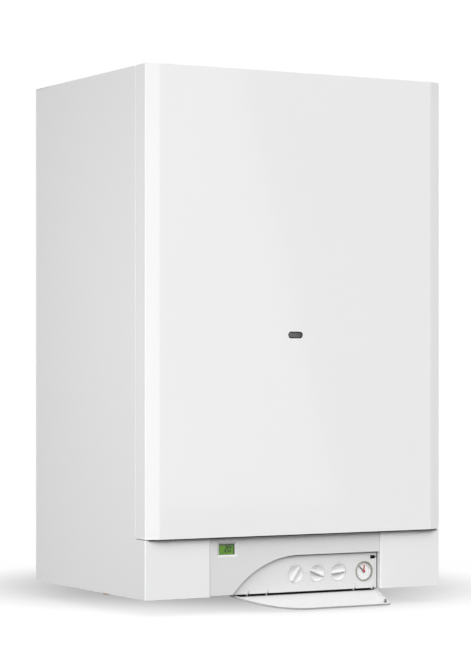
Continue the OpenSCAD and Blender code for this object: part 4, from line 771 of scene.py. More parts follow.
@dataclass
class Case:
    """Folded side panels, top, bottom tray, back and wall rails."""

    sheet: float = 1.2
    step_y: float = 54.7
    step_d: float = 0.5
    hem_w: float = 20.0
    post_x: float = 171.3
    post_top: float = 100.4
    post_return: float = 23.0
    flange_w: float = 15.0
    post_fold: float = 2.4
    sheet_fold: float = 1.25
    edge_r: float = 0.2
    lid_edge: float = 0.5
    back_edge: float = 0.15
    corner_r: float = 1.0
    back_corner: float = 3.0
    rail_corner: float = 4.0
    rear_margin: float = 4.0
    collar_gap: float = 0.3
    union_gap: float = 0.1
    tap_hole: float = 6.0
    rail_h: float = 50.0
    screw_x: float = 200.0
    screw_hole: float = 5.0
    pin_r: float = 3.0
    pin_edge: float = 0.4
    pin_y: float = -424.0
    pin_z: float = 10.0
    pin_from: float = 167.0

    def __post_init__(self) -> None:
        """Reads the case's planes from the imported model."""
        low, high = span("right_side_panel")
        self.face_y, self.half_w = float(low[1]), float(high[0])
        top_low, top_high = span("top_panel")
        self.height, self.flange_y = float(top_high[2]), float(top_low[1])
        self.tray_low, self.tray_high = span("bottom_tray")

    def build(self) -> None:
        """Makes every piece of the case."""
        side = self.side_panel()
        white, zinc = (Paint.CASE, "white_sheet"), (Paint.ZINC, "galvanised")
        for name, node, (finish, slot), shape in (
                ("left_side_panel_sheet", "left_side_panel", white, side.mirrored()),
                ("right_side_panel_sheet", "right_side_panel", white, side),
                ("top_panel_sheet", "top_panel", white, self.top_panel()),
                ("bottom_tray_sheet", "bottom_tray", zinc, self.bottom_tray()),
                ("back_panel_sheet", "back_panel", zinc, self.back_panel()),
                ("wall_rail_pair", "wall_rails", zinc, self.wall_rails())):
            Piece(name, finish, "casing", (node,), slot).place(shape)

    def wall_line(self) -> list[Corner]:
        """Outer line of the side wall in plan, from the wall to the start of its front fold."""
        rear = self.half_w - self.step_d
        return [(rear, 0.0), (rear, -self.step_y), (self.half_w, -self.step_y - self.step_d)]

    def side_panel(self) -> Surface:
        """Right-hand side panel.

        Two folded sheets stand on each other: the lower one turns round the front
        as a post, and the upper one ends in a flange behind the front panel.

        Returns:
            The panel with its flanges and tilt pin.
        """
        outer, t, face = self.half_w, self.sheet, self.face_y
        post = [(outer, face), (self.post_x, face), (self.post_x, face + self.post_return)]
        flange = [(outer, self.flange_y), (outer - self.hem_w, self.flange_y)]
        lower = rounded(self.wall_line() + post, [0, 0, 0, self.post_fold, self.post_fold, 0])
        upper = rounded(self.wall_line() + flange, [0, 0, 0, self.sheet_fold, 0])
        front, back = float(self.tray_low[1]), float(self.tray_high[1])
        ledge, foot = (box_outline((self.post_x + t, face + t), (outer - t, y), self.sheet_fold)
                       for y in (self.flange_y, front))
        inner, rear = outer - t, outer - t - self.step_d
        y = -self.step_y - 2 * self.step_d
        lid = self.height - t
        pin_end, pin_r = self.post_x + t, self.pin_r
        pin = [(0, self.pin_from), (pin_r - self.pin_edge, self.pin_from),
               (pin_r, self.pin_from + self.pin_edge), (pin_r, pin_end), (0, pin_end)]
        return joined([
            folded_sheet(lower[::-1], t, 0, self.post_top),
            folded_sheet(upper[::-1], t, self.post_top, lid),
            plate(ledge, self.post_top, self.post_top - t, self.edge_r, plane=Plane.FLAT),
            plate(foot, 0, t, self.edge_r, plane=Plane.FLAT),
            bar((inner - self.flange_w, front, 0), (inner, y, t)),
            bar((inner - self.flange_w, self.flange_y + t, lid - t), (inner, y, lid)),
            bar((rear - self.flange_w, back, self.rear_margin), (rear, back + t, lid - t)),
            revolve(pin, 0, (0, self.pin_y, self.pin_z), 32),
        ])

    def top_panel(self) -> Surface:
        """Flat lid with a hole for the flue collar."""
        outline = box_outline((-self.half_w, self.flange_y), (self.half_w, 0), self.corner_r)
        x, y = middle("flue_collar")[:2]
        hole = circle(FlueCollar.outer_r + self.collar_gap, (x, y), 96)
        return plate(outline, self.height, self.height - self.sheet, self.lid_edge, plane=Plane.FLAT,
                     holes=[hole])

    def bottom_tray(self) -> Surface:
        """Flat tray with a hole for each union and for the filling tap's stem."""
        low, high = self.tray_low, self.tray_high
        outline = box_outline((low[0], low[1]), (high[0], high[1]), self.corner_r)
        holes = [circle(r + self.union_gap, (x, Unions.y())) for x, r, _ in Unions.row]
        x, y = middle("filling_tap_handle")[:2]
        holes.append(circle(self.tap_hole, (x, y)))
        return plate(outline, low[2], high[2], self.edge_r, plane=Plane.FLAT, holes=holes)

    def screw_holes(self, radius: float, steps: int = 64) -> list[Array]:
        """Two round holes on the wall screws' axes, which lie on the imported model's own level 0."""
        return [circle(radius, (sign * self.screw_x, -CASE_FLOOR / MM), steps) for sign in (-1, 1)]

    def back_panel(self) -> Surface:
        """Rear sheet behind the rails, with clearance round the wall screws."""
        low, high = span("back_panel")
        outline = box_outline((low[0], low[2]), (high[0], high[2]), self.back_corner)
        return plate(outline, low[1], high[1], self.back_edge, holes=self.screw_holes(2 * self.screw_hole))

    def wall_rails(self) -> Surface:
        """Two flat rails against the wall; the upper one has the screw holes."""
        low, high = span("wall_rails")
        rails = []
        for bottom, holes in ((high[2] - self.rail_h, self.screw_holes(self.screw_hole, 48)), (low[2], [])):
            outline = box_outline((low[0], bottom), (high[0], bottom + self.rail_h), self.rail_corner)
            rails.append(plate(outline, high[1], low[1], self.lid_edge, self.lid_edge, holes=holes))
        return joined(rails)


@dataclass
class FrontPanel:
    """Removable front: one folded sheet with bevelled bands, and its sight window."""

    sheet: float = 1.0
    bevel_w: float = 23.3
    hem_w: float = 20.0
    crease_r: float = 5.0
    corner_r: float = 2.2
    hem_r: float = 1.05
    window: Corner = (-8.0, 446.5)
    window_size: Corner = (29.3, 11.8)
    dark_band_w: float = 1.7
    seal_lip: tuple[float, ...] = (-0.1, 0.1, 2.0, 0.4)
    seal_foot: tuple[float, ...] = (8.0, 1.0, 3.0, 0.3)
    pane: tuple[float, ...] = (-3.2, 0.7, 2.6, 0.3)
    # The black strip under the panel's lower edge is painted shade: its height, its lap, its insets and how
    # far it stops short of the sides.
    lower_shade_h: float = 2.0
    lower_shade_lap: float = 0.3
    lower_shade_in: Corner = (0.8, 2.0)
    lower_shade_end: float = 6.0

    def __post_init__(self) -> None:
        """Reads the panel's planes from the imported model."""
        self.low, self.high = span("front_panel")
        self.face_y = float(span("right_side_panel")[0][1])

    def outline(self) -> tuple[list[Corner], list[float]]:
        """Corners of the panel in plan, from its left hem round the front, and their radii."""
        w, hem, front = self.high[0], self.high[1], self.low[1]
        side = [(w - self.bevel_w, front), (w, self.face_y), (w, hem), (w - self.hem_w, hem)]
        corners = [(-x, y) for x, y in side[::-1]] + side
        radii = [0, self.hem_r, self.corner_r, self.crease_r]
        return corners, radii + radii[::-1]

    def build(self) -> None:
        """Makes the panel, the window's seal and its glass, and the black strip that paints the shade under
        its lower edge.
        """
        opening = [self.sight(-2 * self.dark_band_w)]
        dark_band = joined([self.layer(self.seal_lip, opening), self.layer(self.seal_foot, opening)])
        for name, finish, shape, nodes, slot in (
                ("front_panel_sheet", Paint.FRONT, self.panel(), ("front_panel",), "white_sheet"),
                ("sight_glass_seal", Paint.RUBBER_AND_SHADE, dark_band, (), "black_plastic"),
                ("sight_glass_pane", Paint.SIGHT, self.layer(self.pane), ("sight_glass",), "dark_glass"),
                ("front_panel_lower_shade_strip", Paint.RUBBER_AND_SHADE, self.lower_shade_strip(), (), "black_plastic")):
            Piece(name, finish, "front_cover", nodes, slot).place(shape)

    def sight(self, grow: float = 0.0) -> Array:
        """Outline of the sight window, with a length added to its width and height."""
        return pill(self.window_size[0] + grow, self.window_size[1] + grow, self.window)

    def layer(self, sizes: tuple[float, ...], holes: Sequence[Array] = ()) -> Surface:
        """One layer of the sight window.

        Args:
            sizes: What its width has over the window's, its two depths behind
                the panel's face, and the radius of its edge.
            holes: Outlines cut out of it.

        Returns:
            The layer.
        """
        grow, front, back, edge = sizes
        return plate(self.sight(grow), self.low[1] + front, self.low[1] + back, edge, holes=holes)

    def lower_shade_strip(self) -> Surface:
        """Black strip under the panel's lower edge, along its front and both bevelled bands: painted shade in
        the gap below the panel.
        """
        w, front, low = self.high[0], self.low[1], self.low[2]
        end = (w - self.lower_shade_end, self.face_y + (front - self.face_y) * self.lower_shade_end / self.bevel_w)
        crease = (w - self.bevel_w, front)
        path = rounded([(-end[0], end[1]), (-crease[0], front), crease, end],
                       [0, self.crease_r, self.crease_r, 0])
        near, far = (offset(path, distance, closed=False) for distance in self.lower_shade_in)
        return prism(np.vstack([near, far[::-1]]), low - self.lower_shade_h, low + self.lower_shade_lap, Plane.FLAT)

    def panel(self) -> Surface:
        """The folded sheet with its window, closed by a plate at its top and bottom.

        The sheet's outer line in plan and the same line drawn in by its thickness
        make a closed section, which stands between the two heights. The quads of
        the widest fold give way to faces cut round the window.

        Returns:
            The panel.
        """
        corners, radii = self.outline()
        path = rounded(corners, radii)
        section = np.vstack([path, offset(path, self.sheet, closed=False)[::-1]])
        n, low, high = len(path), self.low[2], self.high[2]
        shell = grid(np.stack([lay(section, height, Plane.FLAT) for height in (low, high)]))
        wide = int(np.argmax(np.linalg.norm(np.diff(path, axis=0), axis=1)))
        twin = 2 * n - 2 - wide
        faces = [face for i, face in enumerate(shell.faces) if i not in (wide, twin)]
        edge = [(i, i + 1, 2 * n - 2 - i, 2 * n - 1 - i) for i in range(n - 1)]
        faces += edge + [tuple(i + 2 * n for i in face) for face in edge]
        hole = self.sight()
        m, base = len(hole), 4 * n
        for side, first in enumerate((wide, twin)):
            rim = [first, first + 1, first + 1 + 2 * n, first + 2 * n]
            index = rim + [base + side * m + i for i in range(m)]
            flat = [[Vector((shell.points[i][0], shell.points[i][2], 0)) for i in rim],
                    [Vector((*p, 0)) for p in hole]]
            faces += [tuple(index[i] for i in face) for face in tessellate_polygon(flat)]
        faces += [(base + i, base + (i + 1) % m, base + m + (i + 1) % m, base + m + i) for i in range(m)]
        walls = [lay(hole, y, Plane.FRONT) for y in (self.low[1], self.low[1] + self.sheet)]
        sheet = Surface(np.vstack([shell.points, *walls]), faces)
        plan = rounded(corners[1:-1], [0] + radii[2:-2] + [0], closed=True)
        plates = [stamp(plan, np.array([[self.sheet, a], [self.sheet, b]]), Plane.FLAT)
                  for a, b in ((low, low + self.sheet), (high - self.sheet, high))]
        return joined([sheet] + plates)


@dataclass
class Recess:
    """The sunk field in the control panel: its outline, which the flap shares."""

    arc_r: float = 168.0
    arc_x: float = 5.5
    top: float = 64.7
    right: float = 169.4
    low: float = 1.0
    corner_r: float = 1.5
    steps: int = 48

    def path(self, grow: float = 0.0, low: float | None = None) -> Array:
        """The recess's edge from its left tip up the arc, along the top and down the right wall.

        Points on the arc are its centre plus its radius times (cos a, sin a), for a
        from the tip's angle to the upright.

        Args:
            grow: How far the edge is moved outwards.
            low: Height at which both ends stop.

        Returns:
            Points of shape (n, 2).
        """
        low = self.low if low is None else low
        radius, centre = self.arc_r + grow, self.top - self.arc_r
        tip = 180 - math.degrees(math.asin((low - centre) / radius))
        curve = arc((self.arc_x, centre), radius, tip, 90, self.steps)
        top, right = self.top + grow, self.right + grow
        corner = rounded([(self.arc_x, top), (right, top), (right, low)], [0, self.corner_r, 0])
        return np.vstack([curve, corner[1:]])


@dataclass
class ControlPanel:
    """The moulded control panel with its recess, display frame and printed marks."""

    plate_t: float = 2.5
    floor_d: float = 6.0
    floor_t: float = 2.0
    floor_edge: tuple[float, float, int] = (0.3, 0.05, 3)
    wall: float = 1.4
    edge_r: float = 1.0
    back_edge: float = 0.01
    knob_hole: float = 16.0
    well_l: float = 14.0
    gauge_hole: float = 16.5
    round_steps: int = 72
    latch: Corner = (160.2, 55.4)
    latch_size: Corner = (10.2, 6.2)
    slit: float = 0.7
    slit_end: float = 1.2
    socket: tuple[Corner, ...] = ((0.0, 0.0), (0.0, 5.0), (1.4, 6.4), (1.4, 0.0))
    socket_floor: Corner = (4.6, 6.0)
    slit_back: tuple[float, float, float] = (1.0, 3.0, 1.6)
    hook_x: tuple[float, ...] = (-92.35, -54.05, 123.45, 161.75)
    window: Corner = (0.8, 3.8)
    window_r: float = 0.5
    notch: float = 1.0
    hook_w: float = 3.2
    pin_r: float = 3.6
    pin_reach: float = 5.0
    pin_root: float = 0.2
    pillar_r: float = 3.5
    pillar_root: float = 0.3
    pillar_in: float = 30.0
    plate_pillars: Corner = (24.0, 56.0)
    floor_pillars: tuple[tuple[int, float, float], ...] = ((0, -30.0, 50.0), (2, 22.0, 56.0))
    display: Corner = (-137.2, 79.7)
    screen: Corner = (30.6, 18.3)
    screen_r: float = 0.3
    bevel: Corner = (4.0, 2.6)
    bevel_d: float = 2.4
    frame_r: float = 0.6
    throat_r: float = 0.4
    # A black band on the recess's floor along its edge paints the shade under the rim: its width, its depth
    # and how far it laps into the floor.
    dark_band_w: float = 1.4
    shade_band_t: float = 0.4
    shade_band_lap: float = 0.1
    # The black mask round the screen is painted shade: its opening is inset most at the top and right, where
    # the frame's shade falls.
    shade_mask_low: Corner = (0.1, 0.1)
    shade_mask_high: Corner = (2.2, 1.9)
    shade_mask_t: Corner = (0.05, 0.5)
    mark_r: float = 19.4
    mark_size: Corner = (0.44, 1.5)
    mark_turns: tuple[float, float, int] = (-130.0, 130.0, 7)
    recess: Recess = field(default_factory=Recess)

    def __post_init__(self) -> None:
        """Reads the panel's planes and the places of its knobs and gauge."""
        low, high = span("control_fascia")
        self.front, self.bottom, self.half_w, self.top = low[1], low[2], high[0], high[2]
        self.floor = self.front + self.floor_d
        self.back = self.floor + self.floor_t
        knobs = [middle(f"{name}_knob") for name in ("water", "heating", "mode")]
        self.knobs = [(float(k[0]), float(k[2])) for k in knobs]
        gauge = middle("gauge_dial")
        self.gauge = (float(gauge[0]), float(gauge[2]))
        self.pivot = pivot("flap_hinge")

    def build(self) -> None:
        """Makes the moulding, the black band that paints shade along the recess's edge, the latch's socket,
        the printed marks and the display.
        """
        moulding = joined([self.face_plate(), self.recess_wall(), self.recess_floor(), self.display_frame(),
                           *self.wells(), *self.hook_pins(), *self.pillars()])
        Piece("control_panel_moulding", Paint.MOULDED, "control_unit", ("control_fascia",), "white_plastic",
              40).place(moulding)
        # Black band along the recess's edge: painted shade under its rim.
        dark_band = np.vstack([self.recess.path(), self.recess.path(-self.dark_band_w)[::-1]])[::-1]
        self.place("recess_shade_band", Paint.RUBBER_AND_SHADE, "black_plastic",
                   prism(dark_band, self.floor - self.shade_band_t, self.floor + self.shade_band_lap, Plane.FRONT))
        self.place("latch_socket", Paint.BLACK_AND_SHADE, "black_plastic", self.latch_socket())
        self.place("knob_marks", Paint.PALE_INK, "grey_plastic", self.marks())
        self.build_display()

    @staticmethod
    def place(name: str, finish: Finish, slot: str, shape: Surface, *nodes: str) -> None:
        """Places a piece of the control unit that stands for the named nodes."""
        Piece(name, finish, "control_unit", nodes, slot).place(shape)

    def face_plate(self) -> Surface:
        """The flat face, cut out for the recess and the display."""
        w, low, top = self.half_w, self.bottom, self.top
        outline = np.vstack([[(-w, low)], self.recess.path(), [(w, low), (w, top), (-w, top)]])
        return plate(outline, self.front, self.front + self.plate_t, self.edge_r, self.back_edge,
                     holes=[self.display_ring(1.0, self.frame_r)])

    def recess_wall(self) -> Surface:
        """The wall round the recess, behind the face plate."""
        band = np.vstack([self.recess.path(self.wall), self.recess.path()[::-1]])[::-1]
        return prism(band, self.front + self.plate_t, self.back, Plane.FRONT)

    def recess_floor(self) -> Surface:
        """The recess's floor with its holes for knobs, gauge, latch and hooks."""
        low, pin, half = self.recess.low, self.pivot[2], self.hook_w / 2
        notch = [(-half, low), (-half, pin - self.notch), (half, pin - self.notch), (half, low)]
        edge = [(x + dx, z) for x in self.hook_x for dx, z in notch]
        outline = np.vstack([edge, self.recess.path()[::-1]])
        sill, lintel = pin + self.window[0], pin + self.window[1]
        windows = [box_outline((x - half, sill), (x + half, lintel), self.window_r) for x in self.hook_x]
        (x, z), (w, h), s = self.latch, (self.latch_size[0] / 2, self.latch_size[1] / 2), self.slit
        right = self.recess.right - self.slit_end
        slot = np.array([(x - w, z - h), (x + w, z - h), (x + w, z - s), (right, z - s),
                         (right, z + s), (x + w, z + s), (x + w, z + h), (x - w, z + h)])
        holes = [circle(self.knob_hole, knob, self.round_steps) for knob in self.knobs]
        holes += [circle(self.gauge_hole, self.gauge, self.round_steps), *windows, slot]
        return plate(outline, self.floor, self.back, *self.floor_edge, holes=holes)

    def display_ring(self, share: float, radius: float) -> Array:
        """Rounded outline of the display: the screen plus a share of the bevel."""
        (x, z), (w, h), (bx, bz) = self.display, self.screen, self.bevel
        w, h = w / 2 + share * bx, h / 2 + share * bz
        return box_outline((x - w, z - h), (x + w, z + h), radius)

    def display_frame(self) -> Surface:
        """Sloping frame from the face down to the screen, closed round the back."""
        deep, back = self.front + self.bevel_d, self.front + self.plate_t
        outer, inner = self.frame_r, self.throat_r
        rings = [(1.0, outer, self.front + 0.3), (0.06, inner, deep - 0.1), (0.0, inner, deep),
                 (0.0, inner, back), (1.0, outer, back)]
        points = np.stack([lay(self.display_ring(s, r), y, Plane.FRONT) for s, r, y in rings])
        return grid(points, wrap_rows=True)

    def wells(self) -> list[Surface]:
        """Round walls behind the floor, in which the knobs turn."""
        profile = tube(self.knob_hole, self.knob_hole + self.wall, self.back, self.floor + self.well_l)
        return [revolve(profile, 1, (x, 0, z), self.round_steps, wrap=True) for x, z in self.knobs]

    def hook_pins(self) -> list[Surface]:
        """The half-round bars that the flap's hooks turn on."""
        y, z, root = self.pivot[1], self.pivot[2], self.floor + self.pin_root
        section = np.vstack([arc((y, z), self.pin_r, -90, 90, 10),
                             [(root, z + self.pin_r), (root, z - self.pin_r)]])
        return [prism(section, x - self.pin_reach, x + self.pin_reach, Plane.SIDE) for x in self.hook_x]

    def pillars(self) -> list[Surface]:
        """Posts that carry the main board: some behind the face plate, some behind the recess's floor."""
        feet = [((self.pillar_in - self.half_w, z), self.front + self.plate_t) for z in self.plate_pillars]
        feet += [((self.knobs[i][0] + dx, z), self.back) for i, dx, z in self.floor_pillars]
        board = span("main_board")[0][1]
        return [prism(circle(self.pillar_r, place, 24), foot - self.pillar_root, board, Plane.FRONT)
                for place, foot in feet]

    def latch_ring(self, grow: float, radius: float = 0.5) -> Array:
        """Rounded outline of the latch's slot, grown by a distance all round."""
        (x, z), (w, h) = self.latch, (self.latch_size[0] / 2 + grow, self.latch_size[1] / 2 + grow)
        return box_outline((x - w, z - h), (x + w, z + h), radius)

    def latch_socket(self) -> Surface:
        """Black socket behind the latch slot, open to the front; its black also paints the shade inside the
        slot and the slit.

        Rings run in from the slot, down its throat and out round the back.

        Returns:
            The cup with its floor and the strip behind the slit.
        """
        rings = [lay(self.latch_ring(grow), self.back + depth, Plane.FRONT) for grow, depth in self.socket]
        near, far = self.socket_floor
        cup_floor = plate(self.latch_ring(0.2, 0.4), self.back + near, self.back + far, 0.2)
        past, depth, half = self.slit_back
        x, z = self.latch[0] + self.latch_size[0] / 2, self.latch[1]
        strip = bar((x, self.back, z - half), (self.recess.right + past, self.back + depth, z + half), 0.4)
        return joined([grid(np.stack(rings), wrap_rows=True), cup_floor, strip])

    def marks(self) -> Surface:
        """Small printed strokes round each knob."""
        half, length = self.mark_size[0] / 2, self.mark_size[1]
        stroke = box_outline((-half, self.mark_r), (half, self.mark_r + length))
        return joined(printed(clockwise(stroke, turn) + knob, self.floor)
                      for knob in self.knobs for turn in np.linspace(*self.mark_turns))

    def build_display(self) -> None:
        """Makes the display's case, its screen, its black mask that paints the shade at the screen's top and
        right, and its figures.
        """
        low, high = span("display_module")
        shell = bar(low + [0.5, 0.3, 0.5], high - [0.5, 0, 0.5], 0.8)
        self.place("display_case", Paint.BLACK_AND_SHADE, "black_plastic", shell, "display_module")
        screen = plate(self.display_ring(-0.2, self.screen_r), low[1] + 0.02, low[1] + 0.6, 0.05)
        self.place("display_screen", Paint.SCREEN, "display", screen)
        y, centre, half = self.front + self.bevel_d, np.array(self.display), np.array(self.screen) / 2
        # Black mask, widest at the top and right: painted shade from the frame.
        opening = box_outline(centre - half + self.shade_mask_low, centre + half - self.shade_mask_high, self.screen_r)
        near, far = self.shade_mask_t
        shade_mask = plate(self.display_ring(0.05, self.screen_r), y + near, y + far, 0.02, holes=[opening])
        self.place("display_shade_mask", Paint.BLACK_AND_SHADE, "black_plastic", shade_mask)
        figures = Figures(self.display, float(low[1])).surface()
        self.place("display_figures", Paint.SEGMENT, "display", figures)


@dataclass
class Figures:
    """Seven-stroke figures and dots on the display."""

    centre: Corner
    screen_y: float
    height: float = 10.0
    width: float = 4.4
    stroke: float = 2.1
    rise: float = 0.6
    pitch: float = 6.4
    start: float = -3.5
    tip_gap: float = 0.18
    strokes: tuple[str, ...] = ("abged", "abcdef")
    dots: tuple[tuple[float, Corner], ...] = ((0.9, (9.4, 3.9)), (0.9, (-7.8, -5.6)))

    def stroke_outline(self, a: Corner, b: Corner) -> Array:
        """Six-sided bar between two points, pointed at both ends."""
        start, end = np.array(a, float), np.array(b, float)
        along = (end - start) / np.linalg.norm(end - start)
        side = np.array([-along[1], along[0]]) * self.stroke / 2
        half, gap = along * self.stroke / 2, along * self.tip_gap
        start, end = start + gap, end - gap
        return np.array([start, start + half - side, end - half - side, end, end - half + side,
                         start + half + side])

    def surface(self) -> Surface:
        """Every stroke and dot as one surface, a little proud of the screen.

        The letters name a figure's strokes: a to f clockwise from the top, and g
        across the middle.

        Returns:
            The strokes and dots.
        """
        w, h = self.width, self.height
        ends = {"a": ((0, h), (w, h)), "b": ((w, h / 2), (w, h)), "c": ((w, 0), (w, h / 2)),
                "d": ((0, 0), (w, 0)), "e": ((0, 0), (0, h / 2)), "f": ((0, h / 2), (0, h)),
                "g": ((0, h / 2), (w, h / 2))}
        outlines = [circle(radius, place, 16) for radius, place in self.dots]
        for i, letters in enumerate(self.strokes):
            place = np.array([self.start + i * self.pitch, self.rise - h / 2])
            outlines += [self.stroke_outline(*ends[letter]) + place for letter in letters]
        return joined(plate(outline + np.array(self.centre), self.screen_y - 0.05, self.screen_y + 0.05,
                            0.02, 0.0, 1) for outline in outlines)


@dataclass
class Knob:
    """A round dished knob with a grip bar."""

    name: str
    body: str
    turn: float
    radius: float = 15.7
    rim: float = 1.5
    crease: float = 0.25
    lip_r: float = 0.5
    dish: float = 4.5
    length: float = 13.0
    shaft_r: float = 3.0
    shaft_end: float = 20.5
    bar_t: float = 3.2
    bar_out: float = 2.2
    bar_edge: tuple[float, float, int] = (0.9, 0.1, 5)
    gap: float = 0.3

    def build(self, panel: ControlPanel) -> None:
        """Makes the knob in its hole.

        The dish is part of a sphere: at radius r its depth is that of the sphere
        of radius R through the rim, sqrt(R^2 - r^2) less its value at the rim.

        Args:
            panel: The control panel that it sits in.
        """
        x, z = middle(self.name)[[0, 2]]
        reach = self.radius - self.rim
        sphere = (reach ** 2 + self.dish ** 2) / (2 * self.dish)
        r = np.linspace(0.0, reach, 18)
        depth = np.sqrt(sphere ** 2 - r ** 2) - (sphere - self.dish) + self.gap
        lip = arc((self.radius - self.lip_r, self.gap + self.lip_r), self.lip_r, -90, 0, 4)
        profile = np.vstack([np.stack([r, depth], -1), [(reach + self.crease, self.gap)], lip,
                             [(self.radius, self.length), (self.shaft_r, self.length),
                              (self.shaft_r, self.shaft_end), (0, self.shaft_end)]])
        body = revolve(profile, 1, (x, panel.floor, z), 96)
        outline = clockwise(pill(2 * reach, self.bar_t, steps=10), self.turn - 90) + [x, z]
        grip = plate(outline, panel.floor - self.bar_out, panel.floor + self.dish, *self.bar_edge)
        Piece(f"{self.name}_dish", Paint.KNOB, self.body, (self.name,), "white_plastic", 40).place(
            joined([body, grip]))


@dataclass
class Gauge:
    """The pressure gauge: case, bezel, dial, two hands and glass."""

    bezel_r: float = 17.4
    bezel_t: float = 1.6
    lip_r: float = 16.2
    can_r: float = 16.4
    can_in: float = 15.9
    can_l: float = 26.0
    glass_in: float = 0.3
    dial_d: float = 3.0
    dial_t: float = 0.6
    dial_lift: float = 0.1
    bore: float = 1.2
    scale: tuple[float, float, int] = (-135.0, 135.0, 41)
    scale_r: tuple[float, float, float] = (10.9, 11.9, 12.9)
    scale_w: float = 0.32
    hand_turn: float = -45.0
    set_turn: float = 8.0
    needle: tuple[Corner, ...] = ((-1.4, -4), (1.4, -4), (1.2, 4), (0.8, 13), (-0.8, 13), (-1.2, 4))
    needle_y: Corner = (-1.3, -0.9)
    hub: tuple[Corner, ...] = ((0, -1.4), (1.7, -1.4), (2, -1.1), (2, -0.8), (0, -0.8))
    spindle: tuple[Corner, ...] = ((0, -1), (0.8, -1), (0.8, 14), (0, 14))
    set_needle: tuple[Corner, ...] = ((-1.5, 0), (1.5, 0), (1.2, 10.6), (-1.2, 10.6))
    set_needle_y: Corner = (-2.2, -1.8)
    set_screw: tuple[Corner, ...] = ((0, -0.6), (1.5, -0.6), (1.8, -0.35), (1.8, -0.2), (1.1, -0.2))
    set_hub: tuple[Corner, ...] = ((1.1, -2.1), (2.2, -2.1), (2.2, -1.7), (0, -1.7))

    def build(self, panel: ControlPanel) -> None:
        """Makes every piece of the gauge.

        Args:
            panel: The control panel that it sits in.
        """
        self.x, self.z = panel.gauge
        floor = float(panel.floor)
        front, end = floor - self.bezel_t, floor + self.can_l
        glass, dial = front + self.glass_in, floor + self.dial_d
        rear, face, edge = dial + self.dial_t, dial - self.dial_lift, self.can_in - 0.1
        can = [(0, rear + 0.1), (self.can_in, rear + 0.1), (self.can_in, floor), (self.can_r, floor),
               (self.can_r, end - 1), (self.can_r - 1, end), (0, end)]
        crown = arc((self.bezel_r - 0.6, front + 0.6), 0.6, -90, 0, 6)
        bezel = np.vstack([[(self.can_in, floor), (self.can_in, glass), (self.lip_r, glass),
                            (self.lip_r, front + 0.1), (self.lip_r + 0.1, front)],
                           crown, [(self.bezel_r, floor)]])
        self.place("gauge_case", Paint.GREY, "grey_plastic", can, ("gauge_body",), False)
        self.place("gauge_bezel", Paint.BEZEL, "steel", bezel)
        self.place("gauge_dial_plate", Paint.DIAL, "dial", tube(self.bore, edge, face, rear), ("gauge_dial",))
        Piece("gauge_marks", Paint.INK, "control_unit", (), "dial").place(self.graduations(face))
        self.build_hands(dial, glass)
        self.place("gauge_pane", Paint.CLEAR, "clear_glass",
                   tube(self.bore, edge - 0.05, glass + 0.05, glass + 0.9), ("gauge_glass",))

    def place(self, name: str, finish: Finish, slot: str, profile: Sequence[Corner],
              nodes: tuple[str, ...] = (), wrap: bool = True) -> None:
        """Turns a profile about the gauge's axis and places it for its nodes."""
        shape = revolve(profile, 1, (self.x, 0, self.z), 96, wrap)
        Piece(name, finish, "control_unit", nodes, slot).place(shape)

    def graduations(self, dial: float) -> Surface:
        """Strokes along a three-quarter scale, every fifth one longer."""
        (long, short, top), half = self.scale_r, self.scale_w / 2
        parts = []
        for i, turn in enumerate(np.linspace(*self.scale)):
            stroke = box_outline((-half, short if i % 5 else long), (half, top))
            turned = clockwise(stroke, turn) + [self.x, self.z]
            parts.append(prism(turned, dial - 0.05, dial + 0.05, Plane.FRONT))
        return joined(parts)

    def build_hands(self, dial: float, glass: float) -> None:
        """Makes the black hand, and the red hand with its hub and adjusting screw.

        Args:
            dial: Depth of the dial.
            glass: Depth of the glass.
        """
        hub, spindle, screw, set_hub = (
            [(r, start + depth) for r, depth in profile] for profile, start in (
                (self.hub, dial), (self.spindle, dial), (self.set_screw, glass), (self.set_hub, dial)))
        needle, set_needle = (
            plate(np.array(outline), dial + near, dial + far, 0.1) for outline, (near, far) in (
                (self.needle, self.needle_y), (self.set_needle, self.set_needle_y)))
        axis = (0, 0, 0)
        black = joined([needle, revolve(hub, 1, axis, 32), revolve(spindle, 1, axis, 24)])
        red = joined([set_needle, revolve(screw + set_hub, 1, axis, 32)])
        for shape, turn, name, finish, node, body, slot in (
                (black, self.hand_turn, "pressure_needle", Paint.INK, "gauge_hand", "pressure_hand",
                 "black_plastic"),
                (red, self.set_turn, "set_needle", Paint.RED, "gauge_set_hand", "set_hand", "red")):
            Piece(name, finish, body, (node,), slot).place(shape.turned(1, turn).moved(self.x, 0, self.z))


